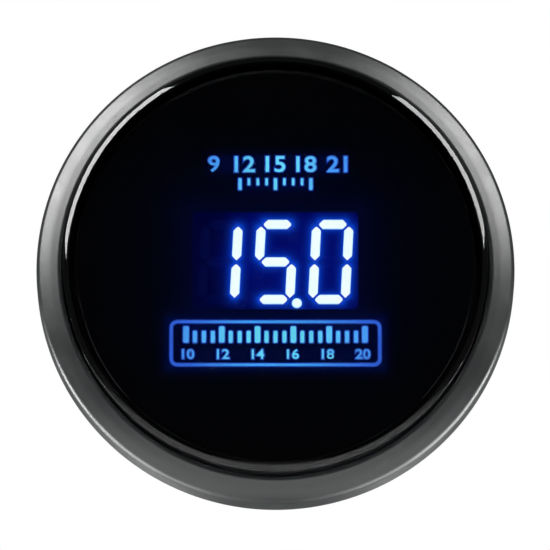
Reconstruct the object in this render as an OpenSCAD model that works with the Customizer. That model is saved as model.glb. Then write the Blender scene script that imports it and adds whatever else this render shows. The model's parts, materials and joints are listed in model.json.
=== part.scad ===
// Round panel gauge for an air fuel ratio, with a three-digit display.
// The body goes through a round hole in a panel, the bezel rests on the front of the panel,
// and a U-shaped clamp with two thumb nuts draws the gauge tight from behind.
// Lengths are in millimetres. The origin is on the gauge's axis, at the plane of the panel's front.
// The face looks along -Y and its legends read upright along +Z.

/* [Body] */
// Outside diameter of the body, which goes through the panel hole
body_d = 52; // [50:0.5:56]
// Depth of the body behind the panel's front
body_depth = 17.4; // [17.2:0.1:19]
// Wall of the body
body_wall = 1.6; // [1.5:0.1:2.1]
// Thickness of the rear wall
rear_wall = 2; // [1.6:0.1:2.6]
// Rounding of the rear edge
rear_edge_r = 1.2; // [0.6:0.1:1.4]
// Height of the collar in front of the panel
collar_h = 2.6; // [2.3:0.1:2.9]
// Width of the rib that keeps the inner parts upright
rib_w = 3; // [2:0.1:4]
// How far the rib stands into the bore
rib_h = 0.8; // [0.5:0.1:1]
// Height of the raised pads round the studs
pad_h = 0.6; // [0.4:0.1:1]
// Diameter of the raised pads
pad_d = 10; // [9:0.5:12]

/* [Bezel] */
// Wall of the bezel beside the collar
bezel_wall = 1.9; // [1.6:0.1:2.1]
// Width of the sloping face
bezel_face_w = 3.25; // [3:0.05:3.7]
// Thickness of the bezel's inner lip, which holds the lens's flange
bezel_lip_t = 1.55; // [1.4:0.05:2]
// Rise of the face from its outer to its inner edge
bezel_face_rise = 1.35; // [1:0.05:1.7]
// Rounding of the outer front edge
bezel_edge_r = 0.8; // [0.5:0.1:1.2]
// Rounding of the inner edge
bezel_lip_r = 0.5; // [0.3:0.05:0.7]
// Rounding of the rear edge, which rests on the panel
bezel_rear_r = 0.3; // [0.1:0.05:0.5]
// Height of the snap lugs inside the bezel
snap_h = 0.8; // [0.6:0.05:1]
// How far the snap lugs reach into the collar's groove
snap_depth = 0.4; // [0.25:0.05:0.5]
// Length of each snap lug round the bezel
snap_l = 11; // [7:0.5:14]

/* [Lens] */
// Height of the lens above the inner edge of the bezel's face
lens_rise = 2.35; // [2:0.05:3]
// Thickness of the lens
lens_t = 2; // [1.6:0.1:2.3]
// Thickness of the lens's skirt
lens_skirt_t = 1.5; // [1.2:0.1:1.7]
// Gap between the dial and the lens's skirt
lens_gap = 0.3; // [0.15:0.05:0.4]
// Gap between the lens and the bezel
mouth_gap = 0.15; // [0.1:0.05:0.25]
// Width of the bevel round the lens
lens_bevel_w = 1.3; // [0.8:0.1:1.6]
// Height of the bevel
lens_bevel_h = 0.85; // [0.5:0.05:1.1]
// Rounding where the bevel meets the lens's side
lens_shoulder_r = 0.25; // [0.15:0.05:0.4]
// Rounding where the bevel meets the flat front
lens_front_r = 0.5; // [0.2:0.1:1]
// Rounding inside the lens
lens_inner_r = 0.6; // [0.3:0.1:0.8]
// Thickness of the flange under the bezel
lens_flange_t = 1.1; // [0.9:0.1:1.3]
// Thickness of the gasket under the flange
gasket_t = 0.5; // [0.3:0.1:0.7]

/* [Dial and light box] */
// Thickness of the dial plate
dial_t = 0.8; // [0.6:0.1:1]
// How far the dial and its light box reach over the collar
dial_ledge = 0.4; // [0.3:0.05:0.6]
// How far the dial laps over the display at each side of the window
window_side_lap = 0.9; // [0.5:0.1:1.1]
// How far the dial laps over the display above and below the window
window_end_lap = 0.6; // [0.4:0.1:0.9]
// Corner radius of the display window
window_r = 0.6; // [0.3:0.1:1.2]
// Height of the display's centre above the gauge's centre
display_rise = 0.8; // [0:0.1:1.2]
// Thickness of the light box's flange, which stands on the collar
box_flange_t = 1.9; // [1.6:0.1:2.2]
// Thickness of the light box's front
box_front_t = 1.2; // [1:0.1:1.5]
// Thickness of the light box's skirt
box_skirt_t = 1.4; // [1.2:0.1:1.6]
// Wall of the light chambers
box_wall = 0.8; // [0.6:0.1:1]
// Inner width of the upper light chamber
upper_chamber_w = 19.2; // [16:0.2:22]
// Inner height of the upper light chamber
upper_chamber_h = 6.2; // [5:0.1:6.6]
// Inner width of the lower light chamber
lower_chamber_w = 27.4; // [22:0.2:28]
// Inner height of the lower light chamber
lower_chamber_h = 6.2; // [5:0.1:7]

/* [Display] */
// The number that the display shows
reading = "15.0"; // [10.5, 12.5, 14.7, 15.0, 18.9]
// Margin of the display block beside its digits
display_side = 1.7; // [1.5:0.1:2.4]
// Margin of the display block above and below its digits
display_end = 1.5; // [1.3:0.1:2]
// Depth of the display block
display_t = 7.6; // [7:0.1:8.4]
// Gap between the upright segments of two digits
digit_gap = 1.68; // [1.6:0.01:2]
// Width of a digit between the middles of its upright segments
digit_w = 4.07; // [3.7:0.01:4.2]
// Height of a digit between the middles of its top and bottom segments
digit_h = 9.64; // [9:0.02:9.8]
// Width of a segment
segment_w = 1.2; // [1:0.05:1.3]
// Distance from a segment's tip to the corner where the middles of two segments would meet
segment_gap = 0.22; // [0.18:0.01:0.3]
// Thickness of the diffuser inserts that form the segments
segment_t = 1; // [0.6:0.1:1.5]
// Width of the ledge on which an insert sits
segment_ledge = 0.15; // [0.1:0.01:0.2]
// Diameter of the decimal points
point_d = 1.25; // [1:0.05:1.3]
// Distance of a decimal point from the middle of the upright segment beside it
point_out = 0.92; // [0.85:0.01:1.1]
// Distance of a decimal point below the middle of the bottom segment
point_drop = 0.48; // [0.4:0.01:0.6]
// Lean of the digits in degrees
digit_slant = 3; // [0:0.5:8]
// Thickness of the display's own board
display_board_t = 0.8; // [0.6:0.1:1]
// Margin of the display block round its own board
display_rim = 0.8; // [0.6:0.1:1]
// Side of a light-emitting die
die_w = 0.5; // [0.3:0.05:0.6]
// Height of a light-emitting die
die_h = 0.2; // [0.1:0.05:0.3]
// Diameter of the display's pins
display_pin_d = 0.5; // [0.4:0.05:0.6]
// Distance between the display's pins
display_pin_pitch = 2.54; // [2:0.01:2.54]
// Distance of the display's rows of pins from the edges of its block
display_row_inset = 1.3; // [1.25:0.05:2]

/* [Boards] */
// Thickness of the boards
board_t = 1.6; // [1.2:0.1:2]
// Gap between the boards and the body's bore
board_gap = 0.5; // [0.3:0.1:0.8]
// Room between the power board and the rear wall
rear_room = 2.6; // [2.4:0.1:2.8]
// Width of the hexagonal posts across their flats
post_w = 4; // [3.5:0.1:4.5]
// Distance of the posts' middles from the edge of the boards
post_inset = 4.5; // [4:0.1:4.9]
// Diameter of the posts' studs and of the board screws
screw_d = 1.9; // [1.6:0.1:2]
// How far the posts' studs reach into the light box
stub_l = 3.5; // [2.5:0.1:4.5]
// Diameter of the board screws' heads
screw_head_d = 3.8; // [3.4:0.1:4.2]
// Height of the board screws' heads
screw_head_h = 1.3; // [1:0.1:1.6]
// Length of the pins' tails past a board
tail_l = 1.2; // [0.8:0.1:1.5]

/* [Board parts] */
// Length of a backlight lamp
lamp_l = 1.6; // [1.2:0.1:2]
// Width of a backlight lamp
lamp_w = 0.8; // [0.6:0.1:1.2]
// Height of a backlight lamp
lamp_h = 0.7; // [0.5:0.1:1]
// Side of the microcontroller
chip_w = 7; // [6:0.5:8]
// Length of the driver chip
driver_l = 12.8; // [10:0.2:13]
// Width of the driver chip
driver_w = 7; // [5:0.5:7.5]
// Height of the chips above their board
chip_h = 1.6; // [1:0.1:2.2]
// Width of a chip's leads
lead_w = 0.35; // [0.25:0.05:0.4]
// Reach of the chips' leads past their bodies
lead_l = 1; // [0.8:0.1:1.2]
// Thickness of the chips' leads
lead_t = 0.2; // [0.15:0.05:0.3]
// Width of the voltage regulator
regulator_w = 6.5; // [5.5:0.1:7]
// Length of the voltage regulator's body
regulator_l = 6; // [5:0.1:6.6]
// Height of the voltage regulator
regulator_h = 2.3; // [1.8:0.1:2.6]
// Diameter of the capacitor
capacitor_d = 6.3; // [5:0.1:6.6]
// Room between the capacitor and the main board
capacitor_room = 0.9; // [0.6:0.1:1.2]
// Length of a resistor
resistor_l = 3.2; // [2:0.1:3.4]
// Width of a resistor
resistor_w = 1.6; // [1.2:0.1:1.8]
// Height of a resistor
resistor_h = 0.55; // [0.4:0.05:0.7]
// Distance between the link pins
link_pitch = 2.54; // [2:0.01:2.54]
// Width of the link strips
link_w = 2.5; // [2.2:0.1:2.6]
// Gap between the link strips and the post above them
link_gap = 1.5; // [1:0.1:2]
// Height of the pin strip on the power board
link_base_h = 2; // [1.6:0.1:2.2]
// Room between the pin strip and the socket strip over it
link_room = 0.5; // [0.3:0.1:0.7]
// Diameter of the link pins and of the harness pins
link_pin_d = 0.7; // [0.6:0.05:0.8]

/* [Harness socket] */
// Outer width of the socket
socket_w = 9.6; // [9:0.1:11]
// Outer height of the socket
socket_h = 9.2; // [9:0.1:10]
// Wall of the socket
socket_wall = 0.9; // [0.7:0.1:1.1]
// Floor of the socket
socket_floor = 1.5; // [1.2:0.1:2]
// How far the socket reaches past the rear wall
socket_reach = 5.2; // [4.8:0.1:5.6]
// Distance of the socket below the clamp's strap
socket_gap = 1.4; // [1.2:0.1:2.4]
// Distance between the socket's pins
socket_pin_pitch = 3; // [2.6:0.1:3.2]
// Free height of the pins inside the socket
socket_pin_h = 3.8; // [3.2:0.1:4]
// Width of the latch ramp under the socket
latch_w = 3; // [2:0.1:4]
// Height of the latch ramp
latch_h = 0.9; // [0.6:0.1:1.2]

/* [Clamp] */
// Diameter of the clamp studs
stud_d = 4; // [3.5:0.1:4.5]
// Distance of the clamp studs from the body's side
stud_inset = 8; // [7.5:0.1:9]
// Diameter of the studs' heads inside the body
stud_head_d = 7; // [6:0.1:7.4]
// Thickness of the studs' heads
stud_head_t = 1.4; // [1:0.1:1.8]
// Length of the studs past the thumb nuts when the clamp is fully open
stud_spare = 2.1; // [1:0.1:4]
// Width of the stud nuts across their flats
nut_w = 7; // [6.5:0.1:7.5]
// Height of the stud nuts
nut_h = 3.2; // [2.4:0.1:3.6]
// Width of the clamp's strap
strap_w = 9; // [8:0.5:9.5]
// Thickness of the clamp's strap
strap_t = 1.4; // [1.2:0.1:1.6]
// Inner radius of the clamp's bends
strap_bend_r = 1.5; // [1:0.1:2.5]
// Gap between the clamp's legs and the body
leg_gap = 1; // [0.7:0.1:1.2]
// Width of the clamp's feet
foot_w = 7; // [6:0.5:8]
// Rounding of the feet's corners
foot_r = 1; // [0.5:0.1:2]
// Gap between the stud nuts and the clamp at rest
strap_gap = 2.2; // [1.6:0.1:4]
// Thickness of the panel that the clamp holds at rest
panel_t = 2.5; // [2.2:0.1:4]
// Travel of the clamp along its studs, 15 turns of a 0.7 mm thread
clamp_travel = 10.5; // [8:0.5:12]
// Diameter of the washers
washer_d = 7.6; // [6.8:0.1:8]
// Thickness of the washers
washer_t = 0.9; // [0.6:0.1:1.2]
// Diameter of the thumb nuts' knurled heads
thumb_d = 12; // [11:0.5:14]
// Height of the knurled heads
thumb_h = 3.5; // [3:0.1:5]
// Depth of the knurl
knurl_depth = 0.35; // [0.2:0.05:0.5]
// Plain rim on each side of the knurl
knurl_rim = 0.5; // [0.3:0.1:0.8]
// Diameter of the thumb nuts' hubs
hub_d = 8; // [7:0.1:9]
// Height of the hubs
hub_h = 3.5; // [2:0.1:4]

/* [Hidden] */

$fn = 96;
// Overrun of every cut
cut = 0.2;
// Gap of a loose fit between round pieces that come apart
fit_gap = 0.1;
// Gap between pieces that are pressed or soldered together
snug_gap = 0.05;
// Gap round an insert of the display
insert_gap = 0.03;
// Gap round a moulding that drops into another
drop_gap = 0.15;
// Gap round the harness socket and beside the rib
wide_gap = 0.2;
// Gap round a board screw
screw_gap = 0.15;
// Gap between a clamp stud and the strap
strap_hole_gap = 0.25;
// Gap between a clamp stud and a nut's bore
thread_gap = 0.03;
// Gap between the thumb nuts and their washers
nut_seat_gap = 0.05;

// Steps of every rounded corner
arc_steps = 10;
snap_count = 6;
post_count = 3;
upper_lamp_count = 5;
lower_lamp_count = 7;
display_pin_count = 6;
link_count = 6;
resistor_count = 6;
chip_lead_count = 8;
driver_lead_count = 10;
knurl_count = 30;

// Places of the board parts, as shares of the boards' radius
microcontroller_shares = [-0.63, 0.17];
driver_shares = [0.61, 0.15];
regulator_shares = [-0.29, 0.02];
capacitor_shares = [0.21, 0.06];
resistor_row_share = -0.7;
// A lead's pitch as a share of its chip's side
lead_pitch_share = 0.11;
driver_lead_pitch_share = 0.095;
// Width of a lamp's clear top as a share of its length
lamp_top_share = 0.6;
// Height of a lamp's base as a share of its whole height
lamp_base_share = 0.4;
// Length of a resistor's body between its end caps, as a share of its length
resistor_body_share = 0.7;
// Parts of the regulator as shares of its sizes
regulator_tab_share = 0.35;
regulator_leg_share = 0.16;
regulator_leg_place_share = 0.35;
// Depth of the capacitor's crimped groove and the places of its edges, as shares
capacitor_groove_share = 0.06;
capacitor_groove_edge_shares = [0.14, 0.22];
// Reach of the link pins as a share of the socket strip's height
link_reach_share = 0.75;
// Reach of the board screws as a share of the posts' length
screw_reach_share = 0.55;
// Cross recess of a screw as shares of its head
recess_w_share = 0.18;
recess_l_share = 0.6;
recess_depth_share = 0.6;
// Chamfer of a nut's corners as a share of its width
nut_chamfer_share = 0.06;
// Chamfer of a stud's end as a share of its diameter
stud_chamfer_share = 0.12;
// Opening of a split washer, as a share of the full turn
washer_split_share = 0.03;
// Reach of the latch ramp along the socket, as shares of the socket's length past the wall
latch_reach_shares = [0.1, 0.6];

// Radii of the body and, from the inside out, of the dial, the lens and the bezel
body_r = body_d / 2;
bore_r = body_r - body_wall;
dial_r = bore_r + dial_ledge;
skirt_r = dial_r + lens_gap;
lens_r = skirt_r + lens_skirt_t;
mouth_r = lens_r + mouth_gap;
bezel_r = mouth_r + bezel_face_w;
bezel_bore_r = bezel_r - bezel_wall;
collar_r = bezel_bore_r - fit_gap;
flange_r = collar_r - snug_gap;
groove_r = collar_r - snap_depth - snug_gap;
rib_r = bore_r - rib_h;
box_r = bore_r - drop_gap;
board_r = bore_r - board_gap;

// Heights in front of the panel, in the face frame
flange_z = collar_h + gasket_t;
lip_z = flange_z + lens_flange_t;
face_z = lip_z + bezel_lip_t;
bezel_side_h = face_z - bezel_face_rise;
lens_z = face_z + lens_rise;
lens_back_z = lens_z - lens_t;
dial_back_z = collar_h + box_flange_t;
display_z = dial_back_z - wide_gap;
board_front_z = display_z - display_t;
board_back_z = board_front_z - board_t;

// Heights behind the panel
floor_z = rear_wall - body_depth;
power_back_z = floor_z + rear_room;
power_front_z = power_back_z + board_t;
post_l = board_back_z - power_front_z;
screw_l = screw_reach_share * post_l;
capacitor_h = post_l - capacitor_room;
socket_end_z = -body_depth - socket_reach;
pad_z = -body_depth - pad_h;
stud_nut_z = pad_z - nut_h;
strap_front_z = stud_nut_z - strap_gap;
strap_back_z = strap_front_z - strap_t;
washer_z = strap_back_z - washer_t;
thumb_front_z = washer_z - nut_seat_gap;
thumb_back_z = thumb_front_z - hub_h - thumb_h;
stud_end_z = thumb_back_z - clamp_travel - stud_spare;
foot_z = -panel_t;

// Round parts of the clamp
stud_r = stud_d / 2;
stud_x = body_r - stud_inset;
leg_inner_x = body_r + leg_gap;
leg_outer_x = leg_inner_x + strap_t;

// Digits of the number and the place of its decimal point
shown_digits = [for (c = reading) if (c != ".") ord(c) - ord("0")];
last_digit = len(shown_digits) - 1;
// The digit with the lit decimal point
point_digit = search(".", reading)[0] - 1;

// Display block and the window over it
digit_pitch = digit_w + segment_w + digit_gap;
display_w = last_digit * digit_pitch + digit_w + segment_w + 2 * display_side;
display_h = digit_h + segment_w + 2 * display_end;
display_row_pitch = display_h - 2 * display_row_inset;
window_w = display_w - 2 * window_side_lap;
window_h = display_h - 2 * window_end_lap;

// Light chambers above and below the display
display_open_w = display_w + 2 * drop_gap;
display_open_h = display_h + 2 * drop_gap;
upper_chamber_y = display_rise + display_open_h / 2 + box_wall + upper_chamber_h / 2;
lower_chamber_y = display_rise - display_open_h / 2 - box_wall - lower_chamber_h / 2;

// Posts, link strips and harness socket
post_place_r = board_r - post_inset;
link_y = post_place_r - post_w / 2 / cos(30) - link_gap - link_w / 2;
socket_drop = strap_w / 2 + socket_gap + socket_h / 2;
link_l = link_count * link_pitch;
link_socket_z = power_front_z + link_base_h + link_room;
link_reach = link_reach_share * (board_back_z - link_socket_z);
pin_r = link_pin_d / 2;
screw_r = screw_d / 2;

// Segments a to g: place of the middle as shares of half the digit, and whether it stands upright
segment_shares = [
    [0, 1, false],
    [1, 0.5, true],
    [1, -0.5, true],
    [0, -1, false],
    [-1, -0.5, true],
    [-1, 0.5, true],
    [0, 0, false],
];
// Segments that form each of the digits 0 to 9
digit_segments = [
    [0, 1, 2, 3, 4, 5],
    [1, 2],
    [0, 1, 3, 4, 6],
    [0, 1, 2, 3, 6],
    [1, 2, 5, 6],
    [0, 2, 3, 5, 6],
    [0, 2, 3, 4, 5, 6],
    [0, 1, 2],
    [0, 1, 2, 3, 4, 5, 6],
    [0, 1, 2, 3, 5, 6],
];
lit_segments = [
    for (i = [0 : last_digit])
        for (s = digit_segments[shown_digits[i]])
            [i, s]
];
dark_segments = [
    for (i = [0 : last_digit])
        for (s = [0 : len(segment_shares) - 1])
            if (len(search(s, digit_segments[shown_digits[i]])) == 0)
                [i, s]
];
all_segments = concat(lit_segments, dark_segments);
all_points = [for (i = [0 : last_digit]) i];
lit_points = [point_digit];
dark_points = [for (i = all_points) if (i != point_digit) i];

// Turns the face frame, with z towards the viewer, into the part's frame
module facing() {
    rotate([90, 0, 0])
        children();
}

function unit(v) = v / norm(v);

// Points of the arc that rounds the corner between two other points
function fillet(before, corner, after, r) =
    let (
        u = unit(before - corner),
        v = unit(after - corner),
        half = acos(u * v) / 2,
        centre = corner + unit(u + v) * r / sin(half),
        start = corner + u * r / tan(half) - centre,
        end = corner + v * r / tan(half) - centre,
        start_angle = atan2(start.y, start.x),
        turn = (atan2(end.y, end.x) - start_angle + 540) % 360 - 180
    )
    [
        for (i = [0 : arc_steps])
            let (angle = start_angle + turn * i / arc_steps)
            centre + r * [cos(angle), sin(angle)]
    ];

function flat(corner) = [corner.x, corner.y];

// Closed outline through corners given as [x, y, rounding radius]
function outline(corners) =
    let (n = len(corners))
    [
        for (i = [0 : n - 1])
            each corners[i][2] == 0
                ? [flat(corners[i])]
                : fillet(
                    flat(corners[(i + n - 1) % n]),
                    flat(corners[i]),
                    flat(corners[(i + 1) % n]),
                    corners[i][2]
                )
    ];

// Solid of revolution about the gauge's axis
module turned(corners) {
    rotate_extrude()
        polygon(outline(corners));
}

// Round plate or ring between two heights
module ring(outer_r, inner_r, low, high) {
    translate([0, 0, low])
        linear_extrude(high - low)
            difference() {
                circle(outer_r);
                circle(inner_r);
            }
}

// Round bar between two heights
module rod(r, low, high) {
    translate([0, 0, low])
        cylinder(r = r, h = high - low);
}

// Block centred on x and y between two heights
module block(w, h, low, high) {
    translate([-w / 2, -h / 2, low])
        cube([w, h, high - low]);
}

// Places its children at each clamp stud
module at_studs(sides = [-1, 1]) {
    for (side = sides)
        translate([side * stud_x, 0, 0])
            children();
}

// Places its children at each post between the boards
module at_posts() {
    for (i = [0 : post_count - 1])
        rotate(90 + i * 360 / post_count)
            translate([post_place_r, 0, 0])
                children();
}

// Places its children at each pin of the display
module at_display_pins() {
    for (side = [-1, 1])
        for (i = [0 : display_pin_count - 1])
            translate([
                (i - (display_pin_count - 1) / 2) * display_pin_pitch,
                display_rise + side * display_row_pitch / 2,
                0
            ])
                children();
}

// Places its children at each link pin between the boards
module at_links() {
    for (i = [0 : link_count - 1])
        translate([(i - (link_count - 1) / 2) * link_pitch, link_y, 0])
            children();
}

// Places its children at each pin of the harness socket
module at_socket_pins() {
    for (x = [-1, 1])
        for (y = [-1, 1])
            translate([
                x * socket_pin_pitch / 2,
                y * socket_pin_pitch / 2 - socket_drop,
                0
            ])
                children();
}

// Notch that lets the body's rib pass
module rib_notch(low, high) {
    translate([-rib_w / 2 - wide_gap, -bore_r - cut, low])
        cube([rib_w + 2 * wide_gap, bore_r + cut - rib_r + drop_gap, high - low]);
}

// Hexagonal prism with its corners chamfered at both ends, its width measured across the flats
module hex_nut(w, h) {
    chamfer = nut_chamfer_share * w;
    corner_r = w / 2 / cos(30);
    intersection() {
        cylinder(r = corner_r, h = h, $fn = 6);
        turned([
            [0, 0, 0],
            [corner_r - chamfer, 0, 0],
            [corner_r, chamfer / 2, 0],
            [corner_r, h - chamfer / 2, 0],
            [corner_r - chamfer, h, 0],
            [0, h, 0],
        ]);
    }
}

// Point of a digit, leaned by the digits' slant
function leaned(p) = [p.x + p.y * tan(digit_slant), p.y];

function digit_x(i) = (i - last_digit / 2) * digit_pitch;

// Middle of a segment in its digit
function segment_middle(s) = [
    segment_shares[s][0] * digit_w / 2,
    segment_shares[s][1] * digit_h / 2
];

// Outline of segment s of digit i, each side moved outwards by grow
function segment_points(i, s, grow) =
    let (
        upright = segment_shares[s][2],
        span = upright ? digit_h / 2 : digit_w,
        half_w = segment_w / 2 + grow,
        half_l = span / 2 - segment_gap + grow * sqrt(2),
        hexagon = [
            [-half_l, 0],
            [half_w - half_l, half_w],
            [half_l - half_w, half_w],
            [half_l, 0],
            [half_l - half_w, -half_w],
            [half_w - half_l, -half_w],
        ]
    )
    [
        for (p = hexagon)
            let (turned_p = upright ? [-p.y, p.x] : p)
            leaned(segment_middle(s) + turned_p) + [digit_x(i), display_rise]
    ];

// Middle of the decimal point of digit i
function point_middle(i) =
    leaned([digit_w / 2 + point_out, -digit_h / 2 - point_drop]) + [digit_x(i), display_rise];

// Flat shapes of the given segments and decimal points
module segments_2d(segments, points, grow) {
    for (cell = segments)
        polygon(segment_points(cell[0], cell[1], grow));
    for (i = points)
        translate(point_middle(i))
            circle(point_d / 2 + grow);
}

// Diffuser inserts of the given segments and decimal points
module inserts(segments, points) {
    translate([0, 0, display_z - segment_t])
        linear_extrude(segment_t)
            segments_2d(segments, points, 0);
}

// Trim ring with a sloping face, which hooks its lugs into the collar's groove
module bezel() {
    lug_turn = snap_l / bezel_bore_r * 180 / PI;
    lug_z = (collar_h - snap_h) / 2;
    color("dimgray")
        facing() {
            turned([
                [bezel_bore_r, 0, 0],
                [bezel_r, 0, bezel_rear_r],
                [bezel_r, bezel_side_h, bezel_edge_r],
                [mouth_r, face_z, bezel_lip_r],
                [mouth_r, lip_z, 0],
                [bezel_bore_r, lip_z, 0],
            ]);
            for (i = [0 : snap_count - 1])
                rotate(i * 360 / snap_count - lug_turn / 2)
                    rotate_extrude(angle = lug_turn)
                        polygon([
                            [bezel_bore_r + cut, lug_z],
                            [collar_r - snap_depth / 2, lug_z],
                            [collar_r - snap_depth, lug_z + snap_h / 2],
                            [collar_r - snap_depth, lug_z + snap_h],
                            [bezel_bore_r + cut, lug_z + snap_h],
                        ]);
        }
}

// Smoked cap with a bevelled edge and a flange that the bezel holds down
module lens() {
    color([0.03, 0.03, 0.04, 0.5])
        facing()
            turned([
                [0, lens_back_z, 0],
                [skirt_r, lens_back_z, lens_inner_r],
                [skirt_r, flange_z, 0],
                [flange_r, flange_z, 0],
                [flange_r, lip_z, 0],
                [lens_r, lip_z, 0],
                [lens_r, lens_z - lens_bevel_h, lens_shoulder_r],
                [lens_r - lens_bevel_w, lens_z, lens_front_r],
                [0, lens_z, 0],
            ]);
}

// Flat rubber ring that seals the lens on the collar
module lens_gasket() {
    color("black")
        facing()
            ring(flange_r - drop_gap, skirt_r + drop_gap, collar_h, flange_z);
}

// Black face with a window for the display
module dial_plate() {
    straight_w = window_w - 2 * window_r;
    straight_h = window_h - 2 * window_r;
    color([0.02, 0.02, 0.02])
        facing()
            difference() {
                rod(dial_r, dial_back_z, dial_back_z + dial_t);
                translate([0, display_rise, dial_back_z - cut])
                    linear_extrude(dial_t + 2 * cut) {
                        square([window_w, straight_h], center = true);
                        square([straight_w, window_h], center = true);
                        for (x = [-1, 1])
                            for (y = [-1, 1])
                                translate([x * straight_w / 2, y * straight_h / 2])
                                    circle(window_r);
                    }
            }
}

// White moulding that carries the dial, frames the display and keeps the legends' light apart
module light_box() {
    skirt_inner_r = box_r - box_skirt_t;
    front_back_z = dial_back_z - box_front_t;
    boss_r = post_w / 2;
    color("white")
        facing()
            difference() {
                union() {
                    ring(dial_r, skirt_inner_r, collar_h, dial_back_z);
                    ring(box_r, skirt_inner_r, board_front_z, dial_back_z);
                    rod(skirt_inner_r + cut, front_back_z, dial_back_z);
                    chamber(0, display_rise, display_open_w, display_open_h);
                    chamber(0, upper_chamber_y, upper_chamber_w, upper_chamber_h);
                    chamber(0, lower_chamber_y, lower_chamber_w, lower_chamber_h);
                    at_posts()
                        rod(boss_r, board_front_z, dial_back_z);
                }
                chamber_hollow(display_rise, display_open_w, display_open_h);
                chamber_hollow(upper_chamber_y, upper_chamber_w, upper_chamber_h);
                chamber_hollow(lower_chamber_y, lower_chamber_w, lower_chamber_h);
                at_posts()
                    rod(screw_r + snug_gap, board_front_z - cut, board_front_z + stub_l + cut);
                rib_notch(board_front_z - cut, collar_h);
            }
}

// Outside of a light chamber, from the main board to the front
module chamber(x, y, w, h) {
    translate([x, y, 0])
        block(w + 2 * box_wall, h + 2 * box_wall, board_front_z, dial_back_z);
}

// Inside of a light chamber, open at both ends
module chamber_hollow(y, w, h) {
    translate([0, y, 0])
        block(w, h, board_front_z - cut, dial_back_z + cut);
}

// Block with a stepped light well for each segment, over a recess for the display's own board
module display_body() {
    recess_w = display_w - 2 * display_rim;
    recess_h = display_h - 2 * display_rim;
    recess_z = board_front_z + display_board_t;
    color([0.02, 0.03, 0.25])
        facing()
            difference() {
                translate([0, display_rise, 0])
                    block(display_w, display_h, board_front_z, display_z);
                translate([0, display_rise, 0])
                    block(recess_w, recess_h, board_front_z - cut, recess_z);
                translate([0, 0, display_z - segment_t])
                    linear_extrude(segment_t + cut)
                        segments_2d(all_segments, all_points, insert_gap);
                translate([0, 0, recess_z - cut])
                    linear_extrude(display_z - segment_t - recess_z + 2 * cut)
                        segments_2d(all_segments, all_points, -segment_ledge);
            }
}

// Inserts that glow
module display_segments_lit() {
    color([0.85, 0.97, 1])
        facing()
            inserts(lit_segments, lit_points);
}

// Inserts that are off
module display_segments_dark() {
    color([0.05, 0.08, 0.4])
        facing()
            inserts(dark_segments, dark_points);
}

// One light-emitting die under the middle of each segment and point
module display_leds() {
    die_z = board_front_z + display_board_t;
    color("lightskyblue")
        facing() {
            for (cell = all_segments)
                translate(leaned(segment_middle(cell[1])) + [digit_x(cell[0]), display_rise])
                    block(die_w, die_w, die_z, die_z + die_h);
            for (i = all_points)
                translate(point_middle(i))
                    block(die_w, die_w, die_z, die_z + die_h);
        }
}

// Thin board that closes the back of the display
module display_board() {
    board_w = display_w - 2 * display_rim - 2 * drop_gap;
    board_h = display_h - 2 * display_rim - 2 * drop_gap;
    color("darkgreen")
        facing()
            translate([0, display_rise, 0])
                block(board_w, board_h, board_front_z, board_front_z + display_board_t);
}

// Two rows of pins from the display through the main board
module display_pins() {
    color("silver")
        facing()
            at_display_pins()
                rod(display_pin_d / 2, board_back_z - tail_l, board_front_z);
}

// One lamp: a base with a narrower clear top
module lamp() {
    block(lamp_l, lamp_w, board_front_z, board_front_z + lamp_base_share * lamp_h);
    block(lamp_top_share * lamp_l, lamp_w, board_front_z, board_front_z + lamp_h);
}

// Evenly spaced lamps in one light chamber
module lamp_row(count, y, w) {
    for (i = [0 : count - 1])
        translate([(i + 0.5 - count / 2) * w / count, y, 0])
            lamp();
}

// Lamps behind the two legends
module backlight_leds() {
    color("lightblue")
        facing() {
            lamp_row(upper_lamp_count, upper_chamber_y, upper_chamber_w);
            lamp_row(lower_lamp_count, lower_chamber_y, lower_chamber_w);
        }
}

// Round board behind the light box
module main_board() {
    color("darkgreen")
        facing()
            difference() {
                rod(board_r, board_back_z, board_front_z);
                at_display_pins()
                    rod(display_pin_d / 2 + screw_gap, board_back_z - cut, board_front_z + cut);
                at_posts()
                    rod(screw_r + screw_gap, board_back_z - cut, board_front_z + cut);
                rib_notch(board_back_z - cut, board_front_z + cut);
            }
}

// A row of flat leads on two opposite sides of a chip
module lead_rows(count, pitch, w) {
    for (i = [0 : count - 1])
        translate([(i - (count - 1) / 2) * pitch, 0, 0])
            block(lead_w, w + 2 * lead_l, board_back_z - lead_t, board_back_z);
}

// Square package with leads on its four sides
module microcontroller() {
    color([0.12, 0.12, 0.13])
        facing()
            translate(microcontroller_shares * board_r) {
                block(chip_w, chip_w, board_back_z - chip_h, board_back_z);
                lead_rows(chip_lead_count, lead_pitch_share * chip_w, chip_w);
                rotate(90)
                    lead_rows(chip_lead_count, lead_pitch_share * chip_w, chip_w);
            }
}

// Long package with leads on its two long sides
module driver_chip() {
    color([0.12, 0.12, 0.13])
        facing()
            translate(driver_shares * board_r)
                rotate(90) {
                    block(driver_l, driver_w, board_back_z - chip_h, board_back_z);
                    lead_rows(driver_lead_count, driver_lead_pitch_share * driver_l, driver_w);
                }
}

// Socket strip on the main board
module board_header() {
    color([0.1, 0.1, 0.1])
        facing()
            difference() {
                translate([0, link_y, 0])
                    block(link_l, link_w, link_socket_z, board_back_z);
                at_links()
                    rod(pin_r + fit_gap, link_socket_z - cut, link_socket_z + link_reach + cut);
            }
}

// Strip that holds the link pins on the power board
module pin_header() {
    color([0.1, 0.1, 0.1])
        facing()
            difference() {
                translate([0, link_y, 0])
                    block(link_l, link_w, power_front_z, power_front_z + link_base_h);
                at_links()
                    rod(pin_r + insert_gap, power_front_z - cut, power_front_z + link_base_h + cut);
            }
}

// Pins that link the two boards
module header_pins() {
    color("gold")
        facing()
            at_links()
                rod(pin_r, power_back_z - tail_l, link_socket_z + link_reach);
}

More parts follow.
